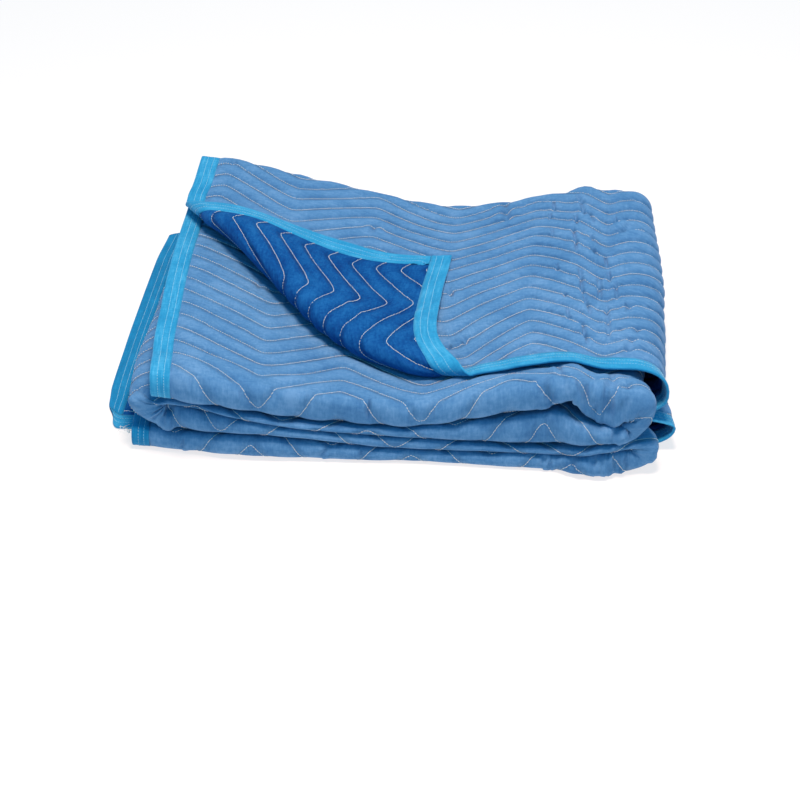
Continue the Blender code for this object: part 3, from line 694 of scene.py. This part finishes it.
def skin_faces(patches, used, ids):
    """Rings of the cells, each with the finer points of its neighbours."""
    faces = []
    for pu, pv in patches:
        for a, b in zip(pu[:-1], pu[1:]):
            for c, d in zip(pv[:-1], pv[1:]):
                ring = [ids[k, c] for k in range(a, b) if used[k, c]]
                ring += [ids[b, k] for k in range(c, d) if used[b, k]]
                ring += [ids[k, d] for k in range(b, a, -1) if used[k, d]]
                ring += [ids[a, k] for k in range(d, c, -1) if used[a, k]]
                faces.append(ring)
    return faces


ROW_STEP = 1.9  # longest edge, and how far it holds from a stitch row


def wanted_step(u, v):
    """Longest edge wanted at a place of the light skin."""
    want = np.full(len(u), 99.0)  # any length will do
    slope = np.hypot(1, ZIG / ZIG_HALF)
    off = ROW * np.arcsin(np.clip(between_rows(u, v), 0, 1)) / math.pi / slope
    seen = (u < U1 + 30) & ((v > V6 + 20) | ((v > V3 - 90) & (v < V4 - 4)))
    seen &= (v < WIDE - BIND) & (u > BIND)
    want[seen & (off < ROW_STEP)] = ROW_STEP
    for width, _, *line in CREASES:
        at = close_to(u, v, line, 3 * width + 2)
        if len(at):
            off, _ = line_distance(u[at], v[at], line)
            near = at[off < 2 * width + 1]
            want[near] = np.minimum(want[near], max(1.0, 0.8 * width))
    return want


REFINE_PASSES = 3
LONG_EDGE = 1.35  # an edge is halved when it is so much longer than wanted


def refine(flat, faces):
    """Halve the edges of one flat skin that are too long for what is there."""
    bm = bmesh.new()
    verts = [bm.verts.new((u, v, 0.0)) for u, v in flat]
    for ring in faces:
        bm.faces.new([verts[k] for k in ring])
    for _ in range(REFINE_PASSES):
        edges = list(bm.edges)
        ends = np.array([(*e.verts[0].co.xy, *e.verts[1].co.xy) for e in edges])
        long = np.hypot(ends[:, 0] - ends[:, 2], ends[:, 1] - ends[:, 3])
        middle = 0.5 * (ends[:, :2] + ends[:, 2:])
        cut = long > LONG_EDGE * wanted_step(middle[:, 0], middle[:, 1])
        cut = [e for e, yes in zip(edges, cut) if yes and not e.is_boundary]
        if cut:
            bmesh.ops.subdivide_edges(bm, edges=cut, cuts=1, use_grid_fill=True)
    bm.verts.index_update()
    flat = np.array([tuple(v.co.xy) for v in bm.verts])
    faces = [[v.index for v in f.verts] for f in bm.faces]
    bm.free()
    return flat, faces


def quilt_mesh():
    """The two skins of the quilt and the cut edges between them."""
    us, span_u = net_lines(STRETCHES_U)
    vs, span_v = net_lines(STRETCHES_V)
    skins = []
    for dark in (False, True):
        patches = list(skin_patches(span_u, span_v, dark))
        used = np.zeros((len(us), len(vs)), bool)
        for pu, pv in patches:
            used[np.ix_(pu, pv)] = True
        skins.append((patches, used))
    border = np.zeros_like(skins[0][1])
    border[[0, -1], :] = border[:, [0, -1]] = True
    shared = border & (skins[0][1] | skins[1][1])
    points, faces, flats, sides, chains, count = [], [], [], [], [], 0
    for side, (patches, used) in zip((1, -1), skins):
        used |= shared
        ids = -np.ones(used.shape, int)
        ids[used] = np.arange(used.sum())
        iu, iv = np.nonzero(used)
        flat = np.column_stack((us[iu], vs[iv]))
        rings = skin_faces(patches, used, ids)
        if side > 0:
            flat, rings = refine(flat, rings)
        u, v = flat.T
        middle, normal, _, _, squeeze = frame_at(u, v)
        off = flat_waves(u, v, side) * squeeze
        off = off + side * (half_thickness(u, v) * squeeze + free_puff(u, v, side))
        points.append(middle + normal * off[:, None])
        flats.append(flat)
        faces += [[k + count for k in (ring[::-1] if side > 0 else ring)] for ring in rings]
        sides += [0 if side > 0 else 1] * len(rings)
        chains.append([[k + count for k in line if k >= 0]
                       for line in (ids[:, 0], ids[-1, :], ids[::-1, -1], ids[0, ::-1])])
        count += len(flat)
    for light, dark in zip(*chains):
        for k in range(len(light) - 1):
            faces.append([light[k], light[k + 1], dark[k + 1], dark[k]])
            sides.append(1)
    return np.vstack(points), faces, np.vstack(flats), sides


def add_object(name, data):
    """A new object in the scene."""
    ob = bpy.data.objects.new(name, data)
    bpy.context.scene.collection.objects.link(ob)
    return ob


def to_object(name, points, faces, flat=None, slots=None, materials=(), rows=None):
    """A mesh object from points in mm, with the cloth's flat places as its UV map."""
    mesh = bpy.data.meshes.new(name)
    places = (np.asarray(points) + (SHIFT[0], SHIFT[1], 0)) * MM
    places[:, 2] = np.maximum(places[:, 2], 0.0)
    mesh.from_pydata(places.tolist(), [], faces)
    for material in materials:
        mesh.materials.append(material)
    if slots is not None:
        mesh.polygons.foreach_set("material_index", np.asarray(slots, np.int32))
    mesh.polygons.foreach_set("use_smooth", np.ones(len(mesh.polygons), bool))
    for uv_name, places in (("flat", flat), ("rows", rows)):
        if places is not None:
            uv = mesh.uv_layers.new(name=uv_name)
            index = np.zeros(len(mesh.loops), np.int32)
            mesh.loops.foreach_get("vertex_index", index)
            uv.data.foreach_set("uv", (np.asarray(places)[index] * MM).ravel().astype(np.float32))
    mesh.update()
    return add_object(name, mesh)


# ---- binding
TAPE_OVER = 0.62  # how far the tape's outer face stands over the squeezed quilt
TAPE_STEP, TAPE_TURN_STEP = 3.2, 1.6  # its cells' length, and that where it turns
TAPE_TURNS = ((V1 - 14, V2 + 12), (V3 - 12, V4 + 12), (V5 - 12, V6 + 12))
TAPE_SINK = 0.2  # how far its long edges are sunk in the quilt
EDGE_DEPTH = 0.8  # where it starts to turn round the quilt's edge
EDGE_BULGE, EDGE_REACH = 0.75, 1.2  # how round its turn is, and how far it goes past the edge
TAPE_DEPTHS = (BIND, BIND, BIND * 0.8, BIND * 0.6, BIND * 0.4, BIND * 0.2, EDGE_DEPTH)
EDGES_ALONG_V = ("left", "right")


def edge_places(edge, runs, inward):
    """Flat places at runs along an edge and distances in from it."""
    if edge == "left":
        return inward, runs
    if edge == "right":
        return LONG - inward, runs
    if edge == "inner":
        return runs, inward
    return runs, WIDE - inward


def tape_runs(edge, start, end):
    """Runs along a tape, finer where the folds turn it."""
    runs = [start]
    while runs[-1] < end:
        at = runs[-1]
        tight = edge in EDGES_ALONG_V and any(low < at < high for low, high in TAPE_TURNS)
        runs.append(min(end, at + (TAPE_TURN_STEP if tight else TAPE_STEP)))
    return np.array(runs)


def tape_section():
    """Rows across a tape: depth from the quilt's edge, whether it stands out, and its side."""
    light = [(depth, k > 0, 1.0) for k, depth in enumerate(TAPE_DEPTHS)]
    dark = [(depth, out, -1.0) for depth, out, _ in light[::-1]]
    turns = [math.pi * k / 6 for k in range(1, 6)]
    return light + [(-EDGE_BULGE * math.sin(a), True, math.cos(a)) for a in turns] + dark


def tape_mesh(edge, start, end):
    """A tape folded round one edge, its ends at two runs along it."""
    runs = tape_runs(edge, start, end)
    outward = 1 if edge in ("right", "outer") else -1
    points, flat = [], []
    across = 0.0
    last = BIND
    for depth, out, side in tape_section():
        ripple = 0.0
        if EDGE_DEPTH < depth < BIND:
            ripple = 0.16 * np.sin(runs / 5.3 + depth) + 0.1 * np.sin(runs / 2.1 + 2 * depth)
        u, v = edge_places(edge, runs, np.full(len(runs), max(depth, 0.0)))
        p, n, du, dv, squeeze = waved_frame_at(u, v)
        if out:
            t = CORE / 2 + TAPE_OVER + ripple * np.ones(len(runs))
        else:
            t = half_thickness(u, v) - TAPE_SINK
        p = p + n * (t * squeeze * side)[:, None]
        if depth < 0:
            p = p + (du if edge in EDGES_ALONG_V else dv) * outward * (-depth * EDGE_REACH)
        across += abs(depth - last) + (EDGE_DEPTH if depth < EDGE_DEPTH else 0)
        last = depth
        points.append(p)
        flat.append(np.column_stack((np.full(len(runs), across), runs)))
    rows, n = len(points), len(runs)
    faces = []
    for r in range(rows - 1):
        for k in range(n - 1):
            ring = [r * n + k, r * n + k + 1, (r + 1) * n + k + 1, (r + 1) * n + k]
            faces.append(ring[::-1] if edge in ("left", "outer") else ring)
    return np.vstack(points), faces, np.vstack(flat)


# ---- stitches
# start (mm), way (degrees), length and curl of each loose thread end
LOOSE_THREADS = (
    (-256, -210, 6.5, -50, 15, 1.2), (-258, -208, 6.2, -75, 12, -0.9),
    (-252, -212, 6.2, -30, 11, -1.4), (-250, -211, 5.8, -105, 11, 1.6),
    (-259, -209, 5.8, -20, 14, 0.8), (-254, -213, 5.0, -60, 10, 2.4),
    (-249, -208, 8.0, -140, 12, 0.9), (-258, -190, 11.5, 12, 11, -0.7),
)


def thread_mesh(starts, ends, normals, radius=0.27, sag=0.35):
    """Short stitches: each a little arched bar, pressed into the cloth at its ends."""
    d = ends - starts
    length = np.linalg.norm(d, axis=1)[:, None]
    d = d / np.maximum(length, 1e-9)
    side = unit(np.cross(normals, d))
    rings = []
    for s, lift, wide in ((0.0, -sag, 0.5), (0.22, 0.12, 1.0), (0.78, 0.12, 1.0), (1.0, -sag, 0.5)):
        c = starts + d * length * s + normals * lift
        for w, h in ((-1.0, 0.0), (0.0, 1.0), (1.0, 0.0)):
            rings.append(c + side * (w * radius * wide) + normals * (h * radius * wide))
    points = np.stack(rings, axis=1).reshape(-1, 3)
    base = np.arange(len(starts))[:, None] * len(rings)
    corners = [r * 3 + k for r in range(3) for k in range(2)]
    faces = np.concatenate([base + np.array((a, a + 1, a + 4, a + 3)) for a in corners])
    return points, faces.tolist()


def spaced(u, v, pitch, fill):
    """Flat places of the starts and ends of stitches, even along the folded cloth."""
    steps = np.linalg.norm(np.diff(place(u, v)[0], axis=0), axis=1)
    run = np.concatenate(([0.0], np.cumsum(np.minimum(steps, 8.0))))
    at = np.arange(0.5, run[-1] - pitch, pitch)
    return [np.interp(at + shift, run, flat) for shift in (0.0, fill * pitch) for flat in (u, v)]


RAY_START, RAY_REACH = 2.2, 3.4  # how far above a place the skin is sought, and how far down


def onto(tree, p, n, lift):
    """Places lifted off the skin that lies nearest along their normals."""
    out = p + n * lift
    for k in range(len(p)):
        above = Vector(p[k] + n[k] * RAY_START)
        hit, facing, _, _ = tree.ray_cast(above, Vector(-n[k]), RAY_REACH)
        if hit is not None and facing.dot(Vector(n[k])) > 0.3:
            out[k] = np.array(hit) + n[k] * lift
    return out


TUCK = 1.5  # how far the stitch rows run in under the tapes
ROW_PITCH, TAPE_PITCH = 2.7, 2.6  # from stitch to stitch
TAPE_ROWS = (7.2, 13.4)  # depths of the two rows on a tape
ON_CLOTH = 0.3  # how far the threads' middles are over the cloth


def stitch_rows(spans, tree):
    """Stitches of the quilting within flat rectangles on one side of the cloth."""
    starts, ends, normals = [], [], []
    for u0, u1, v0, v1, side in spans:
        first = math.floor((v0 - ZIG) / ROW)
        last = math.ceil(v1 / ROW)
        for k in range(first, last + 1):
            u = np.arange(u0, u1, 1.0)
            # the row's own place decides how long its zigzags are
            v = k * ROW + rounded_zigzag(u, k * ROW + 0.5 * ZIG + 0 * u)
            v = k * ROW + rounded_zigzag(u, v)
            us, vs, ue, ve = spaced(u, v, ROW_PITCH, 0.8 + 0.12 * math.sin(2.4 * k))
            keep = (vs > max(v0, BIND - TUCK)) & (vs < min(v1, WIDE - BIND + TUCK))
            keep &= (us > BIND - TUCK) & (ue < LONG - BIND + TUCK)
            if not keep.any():
                continue
            us, ue, vs, ve = us[keep], ue[keep], vs[keep], ve[keep]
            wander = 0.25 * np.sin(us / 9.0 + 5.1 * k) + 0.12 * rng.standard_normal(len(us))
            for uu, vv, store in ((us, vs + wander, starts), (ue, ve + wander, ends)):
                p, n, _, _, squeeze = waved_frame_at(uu, vv)
                p = p + n * (side * half_thickness(uu, vv) * squeeze)[:, None]
                store.append(onto(tree, p, n * side, ON_CLOTH))
            normals.append(n * side)
    return np.vstack(starts), np.vstack(ends), np.vstack(normals)


def loose_threads():
    """Frayed thread ends at the front corner of the lowest ply, as chains of short bars."""
    starts, ends = [], []
    for x0, y0, z0, way, length, curl in LOOSE_THREADS:
        at, angle = np.array((x0, y0, z0), float), math.radians(way)
        for k in range(7):
            step = length / 7 * np.array((math.cos(angle), math.sin(angle), 0.12 * math.sin(1.3 * k)))
            starts.append(at)
            ends.append(at + step * 1.05)
            at, angle = at + step, angle + curl / 7
    up = np.tile((0.0, 0.0, 1.0), (len(starts), 1))
    return np.array(starts), np.array(ends), up


def tape_stitches(edge, start, end):
    """Two rows of stitches along both faces of a tape."""
    starts, ends, normals = [], [], []
    runs = np.arange(start + 1, end - 1, 1.0)
    for depth in TAPE_ROWS:
        u, v = edge_places(edge, runs, depth + 0.25 * np.sin(runs / 37.0 + depth))
        us, vs, ue, ve = spaced(u, v, TAPE_PITCH, 0.66)
        for side in (1, -1):
            for uu, vv, store in ((us, vs, starts), (ue, ve, ends)):
                p, n, _, _, squeeze = waved_frame_at(uu, vv)
                half = (CORE / 2 + TAPE_OVER) * squeeze + 0.05
                store.append(p + n * (side * half)[:, None])
            normals.append(n * side)
    return np.vstack(starts), np.vstack(ends), np.vstack(normals)


# ---- materials
def set_inputs(node, **values):
    """Set a node's inputs; an underscore stands for a space in a name."""
    for name, value in values.items():
        node.inputs[name.replace("_", " ")].default_value = value


def new_material(name, colour, roughness, sheen=0.0, sheen_tint=(1, 1, 1)):
    """A material with even values, its node tree and its shader."""
    m = bpy.data.materials.new(name)
    m.use_nodes = True
    tree = m.node_tree
    shader = tree.nodes["Principled BSDF"]
    set_inputs(shader, Base_Color=(*colour, 1), Roughness=roughness, Metallic=0.0,
               Specular_IOR_Level=0.12, Sheen_Weight=sheen, Sheen_Roughness=0.5,
               Sheen_Tint=(*sheen_tint, 1))
    return m, tree, shader


class Nodes:
    """Short ways to add nodes to a tree."""

    def __init__(self, tree):
        self.tree = tree

    def add(self, kind, **values):
        node = self.tree.nodes.new(kind)
        for key, value in values.items():
            setattr(node, key, value)
        return node

    def link(self, a, b):
        self.tree.links.new(a, b)

    def uv_map(self, name):
        return self.add("ShaderNodeUVMap", uv_map=name).outputs[0]

    def math(self, operation, a, b=None, c=None):
        node = self.add("ShaderNodeMath", operation=operation)
        for socket, value in zip(node.inputs, (a, b, c)):
            if value is None:
                continue
            if isinstance(value, (int, float)):
                socket.default_value = value
            else:
                self.link(value, socket)
        return node.outputs[0]

    def noise(self, vector, scale, detail=2.0, roughness=0.5, stretch=(1, 1, 1)):
        mapping = self.add("ShaderNodeMapping")
        set_inputs(mapping, Scale=stretch)
        self.link(vector, mapping.inputs["Vector"])
        node = self.add("ShaderNodeTexNoise")
        set_inputs(node, Scale=scale, Detail=detail, Roughness=roughness)
        self.link(mapping.outputs[0], node.inputs["Vector"])
        return node.outputs[0]

    def ramp(self, factor, stops):
        node = self.add("ShaderNodeValToRGB")
        ramp = node.color_ramp
        while len(ramp.elements) < len(stops):
            ramp.elements.new(0.5)
        for element, (at, colour) in zip(ramp.elements, stops):
            element.position = at
            element.color = (*colour, 1)
        self.link(factor, node.inputs[0])
        return node.outputs[0]


def weave_height(k, uv, scale):
    """Threads of a plain weave, one wave each way."""
    both = []
    for way in ("X", "Y"):
        wave = k.add("ShaderNodeTexWave", wave_type="BANDS", bands_direction=way)
        set_inputs(wave, Scale=scale, Distortion=0.6)
        k.link(uv, wave.inputs["Vector"])
        both.append(wave.outputs[1])
    return k.math("ADD", *both)


def slubs(k, uv, scale):
    """Uneven threads, long both ways."""
    along = k.noise(uv, scale, 2, 0.6, (0.16, 1.0, 1))
    across = k.noise(uv, scale, 2, 0.6, (1.0, 0.16, 1))
    return total(k, (along, 0.68), (across, 0.32))


def dress(k, shader, height, shade, stops):
    """Bump from a height in mm, and colours from a shade's stops."""
    out = k.add("ShaderNodeBump")
    set_inputs(out, Strength=1.0, Distance=MM)
    k.link(height, out.inputs["Height"])
    k.link(out.outputs[0], shader.inputs["Normal"])
    k.link(k.ramp(shade, stops), shader.inputs["Base Color"])


def total(k, *terms):
    """Sum of (socket, weight) pairs."""
    out = None
    for socket, weight in terms:
        part = k.math("MULTIPLY", socket, weight)
        out = part if out is None else k.math("ADD", out, part)
    return out


def cloth_material(name, dark, middle, light, sheen, sheen_tint):
    """Quilted polycotton: mottled, woven, puckered along its stitch rows."""
    m, tree, shader = new_material(name, middle, 0.82, sheen, sheen_tint)
    k = Nodes(tree)
    uv = k.uv_map("flat")
    split = k.add("ShaderNodeSeparateXYZ")
    k.link(k.uv_map("rows"), split.inputs[0])
    row = k.math("MULTIPLY", split.outputs[1], 1 / (ROW * MM))
    near = k.math("PINGPONG", row, 0.5)  # nought on a row, a half between rows
    groove = k.math("SMOOTH_MIN", k.math("MULTIPLY", near, 5.0), 1.0, 0.5)
    # puckers: short ripples across the rows that fade between them
    ripple = k.noise(uv, 150, 2.5, 0.55, (1.0, 0.3, 1))
    close = k.math("SUBTRACT", 1.0, k.math("MINIMUM", k.math("MULTIPLY", near, 2.6), 1.0))
    pucker = k.math("MULTIPLY", ripple, k.math("ADD", close, 0.18))
    height = total(k, (groove, 3.2), (pucker, 2.6), (k.noise(uv, 38, 3, 0.5), 1.5),
                   (weave_height(k, uv, 560), 0.035), (slubs(k, uv, 620), 0.55),
                   (k.noise(uv, 1500, 2, 0.6), 0.1))
    # the near term paints shade: the cloth is darker along the stitch rows and lighter on the crowns
    # between them
    shade = total(k, (k.noise(uv, 330, 4, 0.7), 0.42), (slubs(k, uv, 520), 0.38),
                  (k.noise(uv, 17, 3, 0.5), 0.35), (k.noise(uv, 75, 3, 0.6, (0.6, 1.0, 1)), 0.3),
                  (near, 0.16))
    dress(k, shader, height, shade, ((0.63, dark), (0.765, middle), (0.9, light)))
    return m


def tape_material(name, dark, middle, light):
    """Glossier woven tape, with a ripple along it."""
    m, tree, shader = new_material(name, middle, 0.62, 0.2, (0.85, 0.95, 1.0))
    k = Nodes(tree)
    uv = k.uv_map("flat")
    ripple = k.noise(uv, 90, 3, 0.6, (0.35, 1.0, 1))
    height = total(k, (weave_height(k, uv, 430), 0.05), (ripple, 1.0), (slubs(k, uv, 480), 0.7),
                   (k.noise(uv, 900, 2, 0.6), 0.1))
    shade = total(k, (k.noise(uv, 420, 3, 0.6, (1.0, 0.12, 1)), 0.4), (slubs(k, uv, 600), 0.3),
                  (k.noise(uv, 26, 3, 0.5), 0.3))
    dress(k, shader, height, shade, ((0.36, dark), (0.5, middle), (0.64, light)))
    return m


face_cloth = cloth_material("face_cloth", (0.055, 0.18, 0.39), (0.085, 0.235, 0.46),
                            (0.135, 0.3, 0.54), 0.1, (1.0, 1.0, 1.0))
back_cloth = cloth_material("back_cloth", (0.001, 0.045, 0.21), (0.0022, 0.077, 0.28),
                            (0.009, 0.12, 0.36), 0.02, (0.4, 0.6, 1.0))
tape_cloth = tape_material("binding_tape", (0.008, 0.22, 0.46), (0.02, 0.3, 0.57),
                           (0.075, 0.42, 0.7))
# a darker copy of the binding tape for the right edge's tape: painted shade
tape_painted_shade = tape_material("binding_tape_painted_shade", (0.001, 0.16, 0.36), (0.004, 0.215, 0.46),
                          (0.012, 0.28, 0.56))
thread_white, _, _ = new_material("thread", (0.72, 0.74, 0.74), 0.6, 0.2)
thread_pale, _, _ = new_material("thread_pale", (0.36, 0.64, 0.77), 0.6, 0.1)

# ---- the pieces
points, faces, flat, sides = quilt_mesh()
straight = np.column_stack((flat[:, 0], flat[:, 1] - rounded_zigzag(flat[:, 0], flat[:, 1])))
quilt = to_object("quilt", points, faces, flat, sides, (face_cloth, back_cloth), straight)

# the tapes on the sides end at the other two, which run a little past the quilt
SIDE_TAPE = (BIND + 0.3, WIDE - BIND - 0.3)
LONG_TAPE = (-0.8, LONG + 0.8)
tapes = []
# the right edge's tape takes the darker copy of the tape, which is painted shade
for edge, ends, cloth in (("left", SIDE_TAPE, tape_cloth), ("right", SIDE_TAPE, tape_painted_shade),
                          ("inner", LONG_TAPE, tape_cloth), ("outer", LONG_TAPE, tape_cloth)):
    places, cells, uv = tape_mesh(edge, *ends)
    tapes.append(to_object(edge + "_tape", places, cells, uv, None, (cloth,)))

# flat rectangles (u, then v) whose stitches can be seen, and the side they are on
ROWS_SEEN = (
    (0, U2, V6 - 22, WIDE, 1), (0, U1 * 0.6, V6, WIDE, -1), (0, U2, V3 - 275, V4 + 22, 1),
    (U2, LONG, V3 - 12, V4 + 24, 1), (U3 - 16, U4 + 16, V4 + 24, V6, 1),
    (U5, U6, V6 - 22, WIDE, 1), (U6, LONG, V5 - 6, V6 + 6, 1), (U2, U5, V5 - 6, V6 + 6, 1),
)
skin = BVHTree.FromPolygons([Vector(p) for p in points], faces)
places, cells = thread_mesh(*stitch_rows(ROWS_SEEN, skin))
stitches = [to_object("row_stitches", places, cells, materials=(thread_white,))]
for edge, start, end in (("left", BIND, WIDE - BIND), ("right", BIND, WIDE - BIND),
                         ("outer", 0, LONG)):
    places, cells = thread_mesh(*tape_stitches(edge, start, end), radius=0.22, sag=0.3)
    stitches.append(to_object(edge + "_stitches", places, cells, materials=(thread_pale,)))
places, cells = thread_mesh(*loose_threads(), radius=0.3, sag=0.0)
stitches.append(to_object("loose_threads", places, cells, materials=(thread_white,)))

for ob in [quilt, *tapes, *stitches]:
    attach(ob, "root")
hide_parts("quilt_panel")
for ob, node in zip(tapes, ("left_binding", "right_binding", "inner_binding", "outer_binding")):
    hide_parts(node)

# ---- studio
mesh = bpy.data.meshes.new("floor")
FLOOR_HALF = 60  # half a side, in metres
corners = [(x * FLOOR_HALF, y * FLOOR_HALF, 0) for x, y in ((-1, -1), (1, -1), (1, 1), (-1, 1))]
mesh.from_pydata(corners, [], [(0, 1, 2, 3)])
floor = add_object("floor", mesh)
floor_material, _, floor_shader = new_material("floor_white", (0.32, 0.32, 0.32), 0.9)
set_inputs(floor_shader, Emission_Color=(1.0, 0.93, 0.9, 1), Emission_Strength=0.76)
mesh.materials.append(floor_material)

world = bpy.data.worlds.new("studio")
world.use_nodes = True
set_inputs(world.node_tree.nodes["Background"], Color=(0.13, 0.68, 1.0, 1), Strength=0.6)
bpy.context.scene.world = world

lamp = bpy.data.lights.new("top", "AREA")
lamp.shape = "RECTANGLE"
lamp.size, lamp.size_y = 0.5, 0.5
lamp.energy = 34
lamp.color = (1.17, 0.87, 0.71)
light = add_object("top", lamp)
light.location = (0.12, -0.38, 1.8)
light.rotation_euler = (-Vector(light.location)).to_track_quat("-Z", "Y").to_euler()
bpy.context.scene.view_settings.view_transform = "Standard"

# the camera: its turn round the blanket and its distance (m), then the picture's side, focal
# length and aim, all in pixels
ELEVATION, TURN, DISTANCE = math.radians(31.8), math.radians(5.7), 2.476
PICTURE, FOCAL, AIM = 800, 2600.0, (404, 460)
SENSOR = 36.0
target = np.array((0.02 + SHIFT[0] * MM, -0.232 + SHIFT[1] * MM, 0.0))
back = np.array((math.sin(TURN) * math.cos(ELEVATION), -math.cos(TURN) * math.cos(ELEVATION),
                 math.sin(ELEVATION)))
right = np.array((math.cos(TURN), math.sin(TURN), 0.0))
up = np.cross(back, right)
ray = right * (AIM[0] - PICTURE / 2) / FOCAL - up * (AIM[1] - PICTURE / 2) / FOCAL - back
camera = add_object("camera", bpy.data.cameras.new("camera"))
matrix = np.eye(4)
matrix[:3] = np.column_stack((right, up, back, target - ray * DISTANCE))
camera.matrix_world = Matrix(matrix.tolist())
camera.data.sensor_width = SENSOR
camera.data.lens = FOCAL / PICTURE * SENSOR
camera.data.clip_end = 200.0
bpy.context.scene.camera = camera

bpy.context.view_layer.update()
